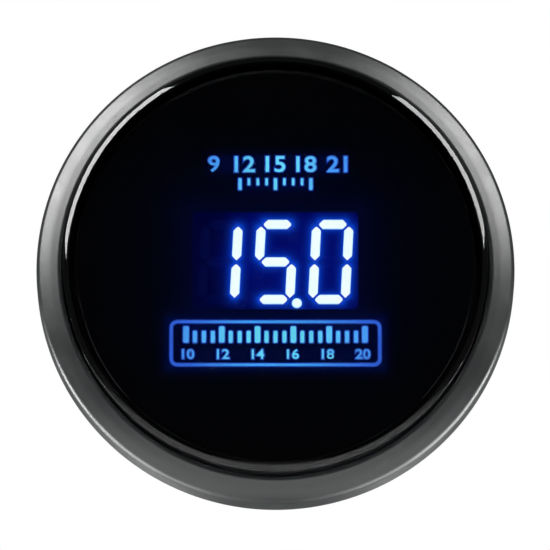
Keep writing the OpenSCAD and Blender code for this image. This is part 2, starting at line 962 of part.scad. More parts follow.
// Hexagonal posts with a stud at the front and a threaded hole at the back
module board_spacers() {
    color("goldenrod")
        facing()
            at_posts() {
                translate([0, 0, power_front_z])
                    difference() {
                        hex_nut(post_w, post_l);
                        rod(screw_r + snug_gap, -cut, screw_l + cut);
                    }
                rod(screw_r, board_back_z - cut, board_front_z + stub_l);
            }
}

// Pan-head screws that hold the power board on the posts
module board_screws() {
    recess_w = recess_w_share * screw_head_d;
    recess_l = recess_l_share * screw_head_d;
    head_z = power_back_z - screw_head_h;
    recess_top_z = head_z + recess_depth_share * screw_head_h;
    color("silver")
        facing()
            at_posts()
                difference() {
                    union() {
                        rod(screw_r, power_back_z - cut, power_front_z + screw_l);
                        rod(screw_head_d / 2, head_z, power_back_z);
                    }
                    block(recess_w, recess_l, head_z - cut, recess_top_z);
                    block(recess_l, recess_w, head_z - cut, recess_top_z);
                }
}

// Round board at the rear, which carries the harness socket
module power_board() {
    color("darkgreen")
        facing()
            difference() {
                rod(board_r, power_back_z, power_front_z);
                at_posts()
                    rod(screw_r + screw_gap, power_back_z - cut, power_front_z + cut);
                at_links()
                    rod(pin_r + screw_gap, power_back_z - cut, power_front_z + cut);
                at_socket_pins()
                    rod(pin_r + screw_gap, power_back_z - cut, power_front_z + cut);
                rib_notch(power_back_z - cut, power_front_z + cut);
            }
}

// Power package with a tab at one end and two legs at the other
module voltage_regulator() {
    tab_l = regulator_tab_share * regulator_l;
    leg_w = regulator_leg_share * regulator_w;
    color([0.12, 0.12, 0.13])
        facing()
            translate(regulator_shares * board_r) {
                block(regulator_w, regulator_l, power_front_z, power_front_z + regulator_h);
                translate([0, regulator_l / 2, 0])
                    block(regulator_w - leg_w, 2 * tab_l, power_front_z, power_front_z + leg_w);
                for (side = [-1, 1])
                    translate([side * regulator_leg_place_share * regulator_w, -regulator_l / 2, 0])
                        block(leg_w, 2 * tab_l, power_front_z, power_front_z + leg_w / 2);
            }
}

// Upright can with a crimped groove near its foot
module capacitor() {
    r = capacitor_d / 2;
    groove = capacitor_groove_share * capacitor_d;
    low = capacitor_groove_edge_shares[0] * capacitor_h;
    high = capacitor_groove_edge_shares[1] * capacitor_h;
    color("midnightblue")
        facing()
            translate(capacitor_shares * board_r)
                translate([0, 0, power_front_z])
                    turned([
                        [0, 0, 0],
                        [r, 0, 0],
                        [r, low, 0],
                        [r - groove, (low + high) / 2, 0],
                        [r, high, 0],
                        [r, capacitor_h, groove],
                        [0, capacitor_h, 0],
                    ]);
}

// Row of chip resistors: a body between two slightly lower end caps
module resistors() {
    color([0.15, 0.15, 0.16])
        facing()
            for (i = [0 : resistor_count - 1])
                translate([
                    (i - (resistor_count - 1) / 2) * 2 * resistor_w,
                    resistor_row_share * board_r,
                    0
                ]) {
                    block(resistor_w, resistor_body_share * resistor_l,
                        power_front_z, power_front_z + resistor_h);
                    block(resistor_w, resistor_l,
                        power_front_z, power_front_z + resistor_body_share * resistor_h);
                }
}

// Outline of the socket in the rear wall, with a notch for its latch ramp
module socket_outline(grow) {
    translate([0, -socket_drop]) {
        square([socket_w + 2 * grow, socket_h + 2 * grow], center = true);
        translate([-latch_w / 2 - grow, -socket_h / 2 - latch_h - grow])
            square([latch_w + 2 * grow, socket_h / 2 + latch_h]);
    }
}

// Four-way inlet with a shroud and a latch ramp
module socket() {
    length = power_back_z - socket_end_z;
    ramp_near = latch_reach_shares[0] * socket_reach;
    ramp_far = latch_reach_shares[1] * socket_reach;
    color([0.08, 0.08, 0.08])
        facing()
            difference() {
                union() {
                    translate([0, -socket_drop, 0])
                        block(socket_w, socket_h, socket_end_z, power_back_z);
                    translate([-latch_w / 2, -socket_drop - socket_h / 2, socket_end_z])
                        rotate([0, 90, 0])
                            linear_extrude(latch_w)
                                polygon([
                                    [-ramp_near, cut],
                                    [-ramp_far, cut],
                                    [-ramp_far, -latch_h],
                                ]);
                }
                translate([0, -socket_drop, 0])
                    block(socket_w - 2 * socket_wall, socket_h - 2 * socket_wall,
                        socket_end_z - cut, power_back_z - socket_floor);
                at_socket_pins()
                    rod(pin_r + insert_gap, socket_end_z, socket_end_z + length + cut);
            }
}

// Pins of the harness socket, soldered in the power board
module socket_pins() {
    color("gold")
        facing()
            at_socket_pins()
                rod(pin_r, power_back_z - socket_floor - socket_pin_h, power_front_z + tail_l);
}

// Cup that goes through the panel, with a grooved collar in front and pads at the back
module housing() {
    groove_low = (collar_h - snap_h) / 2 - snug_gap;
    groove_high = (collar_h + snap_h) / 2 + snug_gap;
    color([0.1, 0.1, 0.1])
        facing()
            difference() {
                union() {
                    turned([
                        [0, -body_depth, 0],
                        [body_r, -body_depth, rear_edge_r],
                        [body_r, 0, 0],
                        [collar_r, 0, 0],
                        [collar_r, groove_low, 0],
                        [groove_r, groove_low, 0],
                        [groove_r, groove_high, 0],
                        [collar_r, groove_high, 0],
                        [collar_r, collar_h, 0],
                        [bore_r, collar_h, 0],
                        [bore_r, floor_z, rear_edge_r / 2],
                        [0, floor_z, 0],
                    ]);
                    translate([-rib_w / 2, -bore_r - cut, floor_z - cut])
                        cube([rib_w, bore_r + cut - rib_r, collar_h - floor_z + cut]);
                    at_studs()
                        rod(pad_d / 2, pad_z, floor_z);
                }
                at_studs()
                    rod(stud_r + snug_gap, pad_z - cut, floor_z + cut);
                translate([0, 0, -body_depth - cut])
                    linear_extrude(rear_wall + 2 * cut)
                        socket_outline(wide_gap);
            }
}

// Studs with round heads inside the body
module clamp_studs() {
    chamfer = stud_chamfer_share * stud_d;
    color("silver")
        facing()
            at_studs()
                turned([
                    [0, stud_end_z, 0],
                    [stud_r - chamfer, stud_end_z, 0],
                    [stud_r, stud_end_z + chamfer, 0],
                    [stud_r, floor_z, 0],
                    [stud_head_d / 2, floor_z, 0],
                    [stud_head_d / 2, floor_z + stud_head_t, 0],
                    [0, floor_z + stud_head_t, 0],
                ]);
}

// Nuts that draw the studs' heads against the rear wall
module stud_nuts() {
    color("silver")
        facing()
            at_studs()
                translate([0, 0, stud_nut_z])
                    difference() {
                        hex_nut(nut_w, nut_h);
                        rod(stud_r + thread_gap, -cut, nut_h + cut);
                    }
}

// U-shaped strap with tapered legs, which press on the back of the panel
module clamp_bracket() {
    side = [
        [-strap_w / 2, strap_back_z - cut, 0],
        [strap_w / 2, strap_back_z - cut, 0],
        [strap_w / 2, strap_front_z, 0],
        [foot_w / 2, foot_z, foot_r],
        [-foot_w / 2, foot_z, foot_r],
        [-strap_w / 2, strap_front_z, 0],
    ];
    color("lightgray")
        facing()
            difference() {
                intersection() {
                    translate([0, strap_w / 2, 0])
                        rotate([90, 0, 0])
                            linear_extrude(strap_w)
                                polygon(outline([
                                    [-leg_outer_x, foot_z, 0],
                                    [-leg_outer_x, strap_back_z, strap_bend_r + strap_t],
                                    [leg_outer_x, strap_back_z, strap_bend_r + strap_t],
                                    [leg_outer_x, foot_z, 0],
                                    [leg_inner_x, foot_z, 0],
                                    [leg_inner_x, strap_front_z, strap_bend_r],
                                    [-leg_inner_x, strap_front_z, strap_bend_r],
                                    [-leg_inner_x, foot_z, 0],
                                ]));
                    translate([-leg_outer_x - cut, 0, 0])
                        rotate([90, 0, 90])
                            linear_extrude(2 * (leg_outer_x + cut))
                                polygon(outline(side));
                }
                at_studs()
                    rod(stud_r + strap_hole_gap, strap_back_z - cut, strap_front_z + cut);
            }
}

// Split washers between the strap and the thumb nuts
module lock_washers() {
    split = 360 * washer_split_share;
    color("silver")
        facing()
            at_studs()
                rotate(90 + split / 2)
                    rotate_extrude(angle = 360 - split)
                        translate([stud_r + screw_gap, washer_z])
                            square([washer_d / 2 - stud_r - screw_gap, washer_t]);
}

// Knurled nut with a plain hub towards the strap
module thumb_nut(side) {
    knurl_r = thumb_d / 2;
    color("gold")
        facing()
            at_studs([side])
                difference() {
                    union() {
                        rod(hub_d / 2, thumb_front_z - hub_h - cut, thumb_front_z);
                        rod(knurl_r - knurl_depth, thumb_back_z, thumb_back_z + thumb_h);
                        translate([0, 0, thumb_back_z + knurl_rim])
                            linear_extrude(thumb_h - 2 * knurl_rim)
                                polygon([
                                    for (i = [0 : 2 * knurl_count - 1])
                                        (knurl_r - (i % 2) * knurl_depth)
                                            * [cos(i * 180 / knurl_count), sin(i * 180 / knurl_count)]
                                ]);
                    }
                    rod(stud_r + thread_gap, thumb_back_z - cut, thumb_front_z + cut);
                }
}

module thumb_nut_left() {
    thumb_nut(-1);
}

module thumb_nut_right() {
    thumb_nut(1);
}

bezel();
lens();
lens_gasket();
dial_plate();
light_box();
display_body();
display_segments_lit();
display_segments_dark();
display_leds();
display_board();
display_pins();
backlight_leds();
main_board();
microcontroller();
driver_chip();
board_header();
pin_header();
header_pins();
board_spacers();
board_screws();
power_board();
voltage_regulator();
capacitor();
resistors();
socket();
socket_pins();
housing();
clamp_studs();
stud_nuts();
clamp_bracket();
lock_washers();
thumb_nut_left();
thumb_nut_right();
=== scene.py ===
"""Looks of a round panel gauge for an air fuel ratio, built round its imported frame.

Lengths are in millimetres until they reach a mesh, where MM turns them into metres.
The gauge's axis is Y, its face looks along -Y, and heights in front of the panel count
along -Y. X is to the right and Z is up, as the numbers on the face read.
"""

import json
import logging
import math
from collections.abc import Callable, Iterable, Sequence
from dataclasses import dataclass
from enum import Enum
from functools import partial
from typing import Any

import bmesh
import bpy
from mathutils import Matrix, Quaternion, Vector

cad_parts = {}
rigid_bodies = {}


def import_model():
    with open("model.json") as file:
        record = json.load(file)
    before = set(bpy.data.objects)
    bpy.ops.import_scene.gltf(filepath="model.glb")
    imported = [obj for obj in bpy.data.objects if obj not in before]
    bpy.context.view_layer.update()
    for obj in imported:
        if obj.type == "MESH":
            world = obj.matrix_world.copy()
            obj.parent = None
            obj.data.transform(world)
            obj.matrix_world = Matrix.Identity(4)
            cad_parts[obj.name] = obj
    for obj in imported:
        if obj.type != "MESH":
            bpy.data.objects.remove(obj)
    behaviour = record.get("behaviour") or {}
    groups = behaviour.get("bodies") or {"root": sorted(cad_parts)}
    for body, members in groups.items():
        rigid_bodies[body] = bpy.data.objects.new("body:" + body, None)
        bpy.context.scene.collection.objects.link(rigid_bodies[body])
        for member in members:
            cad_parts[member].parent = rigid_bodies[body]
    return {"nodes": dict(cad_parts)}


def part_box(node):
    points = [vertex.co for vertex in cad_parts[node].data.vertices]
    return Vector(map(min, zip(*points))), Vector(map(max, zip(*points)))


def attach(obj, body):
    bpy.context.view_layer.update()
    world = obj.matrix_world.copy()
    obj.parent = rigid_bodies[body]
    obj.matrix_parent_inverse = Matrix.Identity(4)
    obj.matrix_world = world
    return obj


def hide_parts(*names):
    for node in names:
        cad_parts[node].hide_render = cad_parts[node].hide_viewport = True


for default_object in list(bpy.data.objects):
    bpy.data.objects.remove(default_object)
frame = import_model()

MM = 0.001
# Slack when points are picked by their radius or height, in millimetres
SLACK = 0.01
IMAGE_SIDE = 550
LOG = logging.getLogger("gauge")

Mesh = bmesh.types.BMesh
Material = bpy.types.Material
Node = bpy.types.Node
Socket = bpy.types.NodeSocket
Colour = tuple[float, float, float]
Point = tuple[float, float]

BLACK: Colour = (0.0, 0.0, 0.0)
WHITE: Colour = (1.0, 1.0, 1.0)


class Rides(Enum):
    """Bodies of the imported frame."""

    GAUGE = "gauge"
    CLAMP = "clamp"
    LEFT_NUT = "left_nut"
    RIGHT_NUT = "right_nut"


class Along(Enum):
    """Directions in which a metal's brushed lines run, as stretches of their noise."""

    X = (0.04, 1.0, 1.0)
    Y = (1.0, 0.04, 1.0)
    ALL = (1.0, 1.0, 1.0)


# ---------------------------------------------------------------- node trees


class Graph:
    """Node tree that takes new nodes with their inputs already fed."""

    def __init__(self, tree: bpy.types.NodeTree) -> None:
        """Starts on an empty tree.

        Args:
            tree: the tree of a material, a world or a group.
        """
        self.tree = tree
        tree.nodes.clear()

    def feed(self, socket: Socket, value: Any) -> None:
        """Links a socket's value, or sets a constant on the socket itself."""
        if isinstance(value, Socket):
            self.tree.links.new(value, socket)
        else:
            socket.default_value = value

    def feed_all(self, node: Node, feeds: dict[str | int, Any]) -> None:
        """Feeds several inputs of a node, by name or number."""
        for key, value in feeds.items():
            self.feed(node.inputs[key], value)

    def add(self, kind: str, feeds: dict[str | int, Any] | None = None, **settings: Any) -> Node:
        """Adds a node.

        Args:
            kind: the node's type.
            feeds: input names or numbers and what each one takes.
            settings: properties of the node itself.

        Returns:
            The new node.
        """
        node = self.tree.nodes.new(kind)
        for name, value in settings.items():
            setattr(node, name, value)
        self.feed_all(node, feeds or {})
        return node

    def math(self, operation: str, *values: Any, clamp: bool = False) -> Socket:
        """Adds a Math node and returns its output."""
        feeds = dict(enumerate(values))
        return self.add("ShaderNodeMath", feeds, operation=operation, use_clamp=clamp).outputs[0]

    def times(self, first: Any, second: Any) -> Socket:
        """Multiplies two values."""
        return self.math("MULTIPLY", first, second)

    def plus(self, first: Any, second: Any) -> Socket:
        """Adds two values."""
        return self.math("ADD", first, second)

    def vector(self, operation: str, *values: Any) -> Socket:
        """Adds a Vector Math node and returns its first live output."""
        feeds = dict(enumerate(values))
        if operation == "SCALE":
            feeds = {0: values[0], "Scale": values[1]}
        node = self.add("ShaderNodeVectorMath", feeds, operation=operation)
        return node.outputs["Value" if operation in ("LENGTH", "DOT_PRODUCT") else "Vector"]

    def fade(self, value: Any, start: float, end: float, low: float = 0.0, high: float = 1.0) -> Socket:
        """Maps a value smoothly from one range to another.

        Args:
            value: what is mapped.
            start: the value that gives low.
            end: the value that gives high.
            low: result at and before start.
            high: result at and after end.

        Returns:
            The mapped value.
        """
        feeds = {"Value": value, 1: start, 2: end, 3: low, 4: high}
        return self.add("ShaderNodeMapRange", feeds, interpolation_type="SMOOTHSTEP").outputs["Result"]

    def mix(self, factor: Any, first: Any, second: Any, blend: str = "MIX") -> Socket:
        """Mixes two colours.

        Args:
            factor: share of the second colour.
            first: colour at factor 0.
            second: colour at factor 1.
            blend: the way in which they mix.

        Returns:
            The mixed colour.
        """
        node = self.add("ShaderNodeMix", {0: factor}, data_type="RGBA", blend_type=blend)
        self.feed(node.inputs[6], rgba(first))
        self.feed(node.inputs[7], rgba(second))
        return node.outputs[2]

    def noise(self, place: Any, scale: Any, detail: float = 2.0, rough: float = 0.5) -> Socket:
        """Adds a noise texture.

        Args:
            place: the coordinates that it reads.
            scale: waves in each metre.
            detail: octaves of finer noise.
            rough: strength of the finer octaves.

        Returns:
            Its value, from 0 to 1.
        """
        feeds = {"Vector": place, "Scale": scale, "Detail": detail, "Roughness": rough}
        return self.add("ShaderNodeTexNoise", feeds).outputs["Fac"]

    def place(self) -> Socket:
        """Object coordinates, which are the row frame's own."""
        return self.add("ShaderNodeTexCoord").outputs["Object"]

    def bump(self, shader: Node, strength: float, depth: float, height: Any) -> None:
        """Gives a shader's surface a relief.

        Args:
            shader: the Principled shader.
            strength: share of the relief that shows.
            depth: its depth where the height is 1, in millimetres.
            height: its height, from 0 to 1.
        """
        feeds = {"Strength": strength, "Distance": depth * MM, "Height": height}
        self.feed(shader.inputs["Normal"], self.add("ShaderNodeBump", feeds).outputs["Normal"])


def rgba(colour: Any) -> Any:
    """Gives a plain colour its fourth channel, and leaves a socket alone."""
    if isinstance(colour, Socket):
        return colour
    return (*colour[:3], 1.0)


class Effect(Enum):
    """Surface effects that several finishes share."""

    GRAIN = "moulded_grain"
    WEAR = "rubbed_edges"
    DUST = "settled_dust"
    LINES = "brushed_lines"
    BOX_GLOW = "glow_round_a_box"
    DIGIT_GLOW = "glow_round_the_digits"


class EffectLibrary:
    """Builds each shared effect once, as a shader node group."""

    # Waves of slow noise in each metre
    MOTTLE_SCALE = 260.0
    RUBBED_SCALE = 700.0
    TARNISH_SCALE = 240.0
    # Share of fine noise in a moulded grain, whose rest is cells
    FINE_SHARE = 0.6
    # Pointiness of a flat surface
    FLAT = 0.5
    # Edge and core of a speck, as shares of its cell
    SPECK = (0.16, 0.06)
    # How fast the digits' wide glow falls, in each millimetre
    SPREAD_FALL = -0.62

    def __init__(self, layout: "DigitLayout") -> None:
        """Keeps the digits' layout for the effect that follows them."""
        self.layout = layout
        self.made: dict[Effect, bpy.types.NodeTree] = {}
        self.builders: dict[Effect, Callable[[Graph], None]] = {
            Effect.GRAIN: self._grain,
            Effect.WEAR: self._wear,
            Effect.DUST: self._dust,
            Effect.LINES: self._lines,
            Effect.BOX_GLOW: self._box_glow,
            Effect.DIGIT_GLOW: self._digit_glow,
        }

    def use(self, graph: Graph, effect: Effect, **values: Any) -> bpy.types.NodeOutputs:
        """Places an effect in a material.

        Args:
            graph: the material's tree.
            effect: which effect.
            values: its inputs, by name.

        Returns:
            The effect's outputs, which are read by name.
        """
        if effect not in self.made:
            self.made[effect] = bpy.data.node_groups.new(effect.value, "ShaderNodeTree")
            self.builders[effect](Graph(self.made[effect]))
        return graph.add("ShaderNodeGroup", values, node_tree=self.made[effect]).outputs

    @staticmethod
    def _sockets(
        graph: Graph, ins: dict[str, str], outs: Iterable[str]
    ) -> tuple[bpy.types.NodeOutputs, bpy.types.NodeInputs]:
        """Makes a group's sockets.

        Args:
            graph: the group's graph.
            ins: input names and their kinds, Float or Vector.
            outs: names of the outputs, which are values.

        Returns:
            What the group takes in and what it gives out, to be read and fed by name.
        """
        for name, kind in ins.items():
            graph.tree.interface.new_socket(name, in_out="INPUT", socket_type=f"NodeSocket{kind}")
        for name in outs:
            graph.tree.interface.new_socket(name, in_out="OUTPUT", socket_type="NodeSocketFloat")
        return graph.add("NodeGroupInput").outputs, graph.add("NodeGroupOutput").inputs

    def _grain(self, graph: Graph) -> None:
        """Spark-eroded grain of a mould, and slow mottling of the surface."""
        ins, outs = self._sockets(graph, {"Place": "Vector", "Fineness": "Float"}, ["Height", "Mottle"])
        place, fineness = ins["Place"], ins["Fineness"]
        cells = graph.add("ShaderNodeTexVoronoi", {"Vector": place, "Scale": fineness}, feature="SMOOTH_F1")
        fine = graph.times(graph.noise(place, fineness, 3.0, 0.6), self.FINE_SHARE)
        coarse = graph.times(cells.outputs["Distance"], 1.0 - self.FINE_SHARE)
        graph.feed(outs["Height"], graph.plus(fine, coarse))
        graph.feed(outs["Mottle"], graph.noise(place, self.MOTTLE_SCALE, 3.0, 0.55))

    def _wear(self, graph: Graph) -> None:
        """Mask of the outer edges that hands and tools rub."""
        ins, outs = self._sockets(graph, {"Place": "Vector", "Reach": "Float"}, ["Mask"])
        edge = graph.add("ShaderNodeNewGeometry").outputs["Pointiness"]
        reach = graph.times(graph.math("SUBTRACT", edge, self.FLAT), ins["Reach"])
        patches = graph.fade(graph.noise(ins["Place"], self.RUBBED_SCALE, 4.0, 0.6), 0.35, 0.65)
        graph.feed(outs["Mask"], graph.math("MULTIPLY", reach, patches, clamp=True))

    def _dust(self, graph: Graph) -> None:
        """Sparse specks of dust, thicker where the surface looks up."""
        ins, outs = self._sockets(
            graph, {"Place": "Vector", "Fineness": "Float", "Share": "Float"}, ["Mask"]
        )
        feeds = {"Vector": ins["Place"], "Scale": ins["Fineness"]}
        cells = graph.add("ShaderNodeTexVoronoi", feeds, feature="F1")
        lot = graph.add("ShaderNodeSeparateColor", {0: cells.outputs["Color"]}).outputs[0]
        chosen = graph.math("LESS_THAN", lot, ins["Share"])
        speck = graph.fade(cells.outputs["Distance"], *self.SPECK)
        normal = graph.add("ShaderNodeNewGeometry").outputs["Normal"]
        up = graph.add("ShaderNodeSeparateXYZ", {0: normal}).outputs["Z"]
        weight = graph.fade(up, -0.6, 0.9, 0.35, 1.0)
        graph.feed(outs["Mask"], graph.times(graph.times(speck, chosen), weight))

    def _lines(self, graph: Graph) -> None:
        """Fine lines that brushing or turning leaves in metal, and slow tarnish."""
        ins, outs = self._sockets(
            graph, {"Place": "Vector", "Stretch": "Vector", "Fineness": "Float"}, ["Height", "Tarnish"]
        )
        drawn = graph.vector("MULTIPLY", ins["Place"], ins["Stretch"])
        graph.feed(outs["Height"], graph.noise(drawn, ins["Fineness"], 3.0, 0.65))
        graph.feed(outs["Tarnish"], graph.noise(ins["Place"], self.TARNISH_SCALE, 4.0, 0.6))

    def _box_glow(self, graph: Graph) -> None:
        """Light that fades away from a rectangle on the face."""
        kinds = {"Place": "Vector", "Centre": "Vector", "Half": "Vector", "Fade": "Float", "Hollow": "Float"}
        ins, outs = self._sockets(graph, kinds, ["Mask"])
        flat = graph.vector("MULTIPLY", ins["Place"], (1.0, 0.0, 1.0))
        away = graph.vector("ABSOLUTE", graph.vector("SUBTRACT", flat, ins["Centre"]))
        past = graph.vector("SUBTRACT", away, ins["Half"])
        outside = graph.vector("LENGTH", graph.vector("MAXIMUM", past, (0.0, 0.0, 0.0)))
        parts = graph.add("ShaderNodeSeparateXYZ", {0: past}).outputs
        inside = graph.math("MAXIMUM", parts["X"], parts["Z"])
        depth = graph.times(graph.math("MINIMUM", inside, 0.0), ins["Hollow"])
        distance = graph.math("SUBTRACT", outside, depth)
        fall = graph.math("DIVIDE", graph.times(distance, -1.0), ins["Fade"])
        graph.feed(outs["Mask"], graph.math("EXPONENT", fall))

    def _digit_glow(self, graph: Graph) -> None:
        """Distance from the lit segments' middle lines, in millimetres, and a wide soft glow."""
        ins, outs = self._sockets(graph, {"Place": "Vector"}, ["Distance", "Spread"])
        flat = graph.vector("MULTIPLY", ins["Place"], (1.0 / MM, 0.0, 1.0 / MM))
        nearest: Any = 100.0
        spread: Any = 0.0
        for start, end in self.layout.lit_lines():
            begin = Vector((start[0], 0.0, start[1]))
            run = Vector((end[0], 0.0, end[1])) - begin
            from_start = graph.vector("SUBTRACT", flat, tuple(begin))
            along = graph.vector("DOT_PRODUCT", from_start, tuple(run / max(run.length_squared, 1e-9)))
            held = graph.math("MINIMUM", graph.math("MAXIMUM", along, 0.0), 1.0)
            foot = graph.vector("SCALE", tuple(run), held)
            distance = graph.vector("LENGTH", graph.vector("SUBTRACT", from_start, foot))
            nearest = graph.math("MINIMUM", distance, nearest)
            fall = graph.math("EXPONENT", graph.times(distance, self.SPREAD_FALL))
            spread = graph.plus(fall, spread)
        graph.feed(outs["Distance"], nearest)
        graph.feed(outs["Spread"], spread)


# ---------------------------------------------------------------- finishes


def new_material(name: str) -> tuple[Material, Graph, Node]:
    """Starts a material.

    Args:
        name: the material's name.

    Returns:
        The material, its graph and its Principled shader, already joined to the output.
    """
    material = bpy.data.materials.new(name)
    material.use_nodes = True
    graph = Graph(material.node_tree)
    shader = graph.add("ShaderNodeBsdfPrincipled")
    graph.add("ShaderNodeOutputMaterial", {"Surface": shader.outputs["BSDF"]})
    return material, graph, shader


def scaled(colour: Colour, factor: float, lift: float = 0.0) -> Colour:
    """Makes a colour deeper or paler.

    Args:
        colour: the colour.
        factor: what each channel is multiplied by.
        lift: what is added to each channel after that.

    Returns:
        The new colour, with no channel above 1.
    """
    return tuple(min(1.0, lift + factor * channel) for channel in colour)


@dataclass(frozen=True)
class Surface:
    """A material in the making: its graph, its Principled shader and its object coordinates."""

    graph: Graph
    shader: Node
    place: Socket
    effects: EffectLibrary

    def use(self, effect: Effect, **values: Any) -> bpy.types.NodeOutputs:
        """Places a shared effect and returns its outputs, which are read by name."""
        return self.effects.use(self.graph, effect, Place=self.place, **values)


@dataclass(frozen=True)
class Finish:
    """What every finish shares: its name and the start of its material."""

    name: str

    def material(self, effects: EffectLibrary) -> Material:
        """Builds the finish's material."""
        material, graph, shader = new_material(self.name)
        self._paint(Surface(graph, shader, graph.place(), effects))
        return material

    def _paint(self, on: Surface) -> None:
        """Feeds the shader of the surface."""
        raise NotImplementedError


@dataclass(frozen=True)
class Moulding(Finish):
    """Moulded plastic or rubber with grain, mottling, dust and rubbed edges."""

    colour: Colour
    roughness: float
    fineness: float = 7000.0
    grain: float = 0.12
    mottle: float = 0.1
    wear: float = 0.0
    dust: float = 0.0
    ior: float = 1.52
    specular: float = 0.5

    # How much paler and smoother rubbed edges are
    RUB_PALES = 0.35
    RUB_POLISHES = 0.12
    # Dust's colour, how much of it covers, and its cells in each metre
    DUST_COLOUR = (0.5, 0.5, 0.48)
    DUST_COVERS = 0.5
    DUST_SCALE = 900.0
    # How far the roughness wanders, and the relief's depth
    UNEVEN = 0.04
    RELIEF = 0.05

    def _paint(self, on: Surface) -> None:
        """Lays mottling, rubbed edges and dust over the colour."""
        graph = on.graph
        grain = on.use(Effect.GRAIN, Fineness=self.fineness)
        wear = on.use(Effect.WEAR, Reach=self.wear)["Mask"]
        dust = on.use(Effect.DUST, Fineness=self.DUST_SCALE, Share=self.dust)["Mask"]
        deep, lifted = (scaled(self.colour, 1.0 + way * self.mottle) for way in (-1, 1))
        colour = graph.mix(grain["Mottle"], deep, lifted)
        colour = graph.mix(graph.times(wear, self.RUB_PALES), colour, scaled(self.colour, 1.2, 0.04))
        colour = graph.mix(graph.times(dust, self.DUST_COVERS), colour, self.DUST_COLOUR)
        smooth, rough = self.roughness - self.UNEVEN, self.roughness + self.UNEVEN
        mottled = graph.fade(grain["Mottle"], 0.2, 0.8, smooth, rough)
        feeds = {
            "Base Color": colour,
            "Roughness": graph.math("SUBTRACT", mottled, graph.times(wear, self.RUB_POLISHES)),
            "IOR": self.ior,
            "Specular IOR Level": self.specular,
        }
        graph.feed_all(on.shader, feeds)
        graph.bump(on.shader, self.grain, self.RELIEF, grain["Height"])


@dataclass(frozen=True)
class Metal(Finish):
    """Plated, turned or brushed metal with slow tarnish and bright edges."""

    colour: Colour
    tarnish: Colour
    roughness: float
    run: Along = Along.ALL
    fineness: float = 9000.0
    lines: float = 0.15

    # Reach of the rubbed edges, and how much brighter they are
    RUB_REACH = 5.0
    RUB_BRIGHTENS = 0.5
    # How much of the tarnish covers, and how much rougher it is
    STAIN_COVERS = 0.6
    STAIN_ROUGHENS = 0.06
    # How far the roughness wanders, and the relief's depth
    UNEVEN = 0.07
    RELIEF = 0.03

    def _paint(self, on: Surface) -> None:
        """Lays tarnish and rubbed edges over the drawn metal."""
        graph = on.graph
        drawn = on.use(Effect.LINES, Stretch=self.run.value, Fineness=self.fineness)
        wear = on.use(Effect.WEAR, Reach=self.RUB_REACH)["Mask"]
        stain = graph.fade(drawn["Tarnish"], 0.35, 0.75)
        colour = graph.mix(graph.times(stain, self.STAIN_COVERS), self.colour, self.tarnish)
        colour = graph.mix(graph.times(wear, self.RUB_BRIGHTENS), colour, scaled(self.colour, 1.15))
        smooth, rough = self.roughness - self.UNEVEN, self.roughness + self.UNEVEN
        brushed = graph.fade(drawn["Height"], 0.25, 0.75, smooth, rough)
        feeds = {
            "Base Color": colour,
            "Metallic": 1.0,
            "Roughness": graph.plus(brushed, graph.times(stain, self.STAIN_ROUGHENS)),
        }
        graph.feed_all(on.shader, feeds)
        graph.bump(on.shader, self.lines, self.RELIEF, drawn["Height"])


@dataclass(frozen=True)
class SmokedAcrylic(Finish):
    """Clear, polished cap with a grey tint."""

    name: str = "smoked_acrylic"
    tint: Colour = (0.42, 0.43, 0.45)
    polish: float = 0.015
    ior: float = 1.49
    dust: float = 0.02

    def _paint(self, on: Surface) -> None:
        """Tints the clear cap and dulls it where dust lies."""
        graph = on.graph
        slow = on.use(Effect.GRAIN, Fineness=1500.0)["Mottle"]
        dust = on.use(Effect.DUST, Fineness=420.0, Share=self.dust)["Mask"]
        feeds = {
            "Base Color": graph.mix(slow, self.tint, scaled(self.tint, 0.96)),
            "Roughness": graph.plus(graph.times(dust, 0.3), self.polish),
            "IOR": self.ior,
            "Transmission Weight": 1.0,
        }
        graph.feed_all(on.shader, feeds)


@dataclass(frozen=True)
class GlowBox:
    """A rectangle on the face from which light spreads."""

    centre: Point
    half: Point
    fade: float
    hollow: float = 0.0
    strength: float = 1.0


@dataclass(frozen=True)
class DialPrint(Finish):
    """Matt black print of the dial, with a faint blue light round each legend."""

    name: str = "dial_print"
    boxes: tuple[GlowBox, ...] = ()
    colour: Colour = (0.006, 0.006, 0.007)
    light: Colour = (0.0, 0.012, 0.2)

    def _paint(self, on: Surface) -> None:
        """Prints the dial black and adds up the light of its boxes."""
        graph = on.graph
        grain = on.use(Effect.GRAIN, Fineness=11000.0)
        total: Any = 0.0
        for box in self.boxes:
            mask = on.use(
                Effect.BOX_GLOW,
                Centre=(box.centre[0] * MM, 0.0, box.centre[1] * MM),
                Half=(box.half[0] * MM, 0.0, box.half[1] * MM),
                Fade=box.fade * MM,
                Hollow=box.hollow,
            )["Mask"]
            total = graph.plus(graph.times(mask, box.strength), total)
        feeds = {
            "Base Color": graph.mix(grain["Mottle"], scaled(self.colour, 0.7), self.colour),
            "Roughness": 0.7,
            "Specular IOR Level": 0.08,
            "Emission Color": graph.mix(total, BLACK, self.light),
            "Emission Strength": 1.0,
        }
        graph.feed_all(on.shader, feeds)
        graph.bump(on.shader, 0.1, 0.03, grain["Height"])


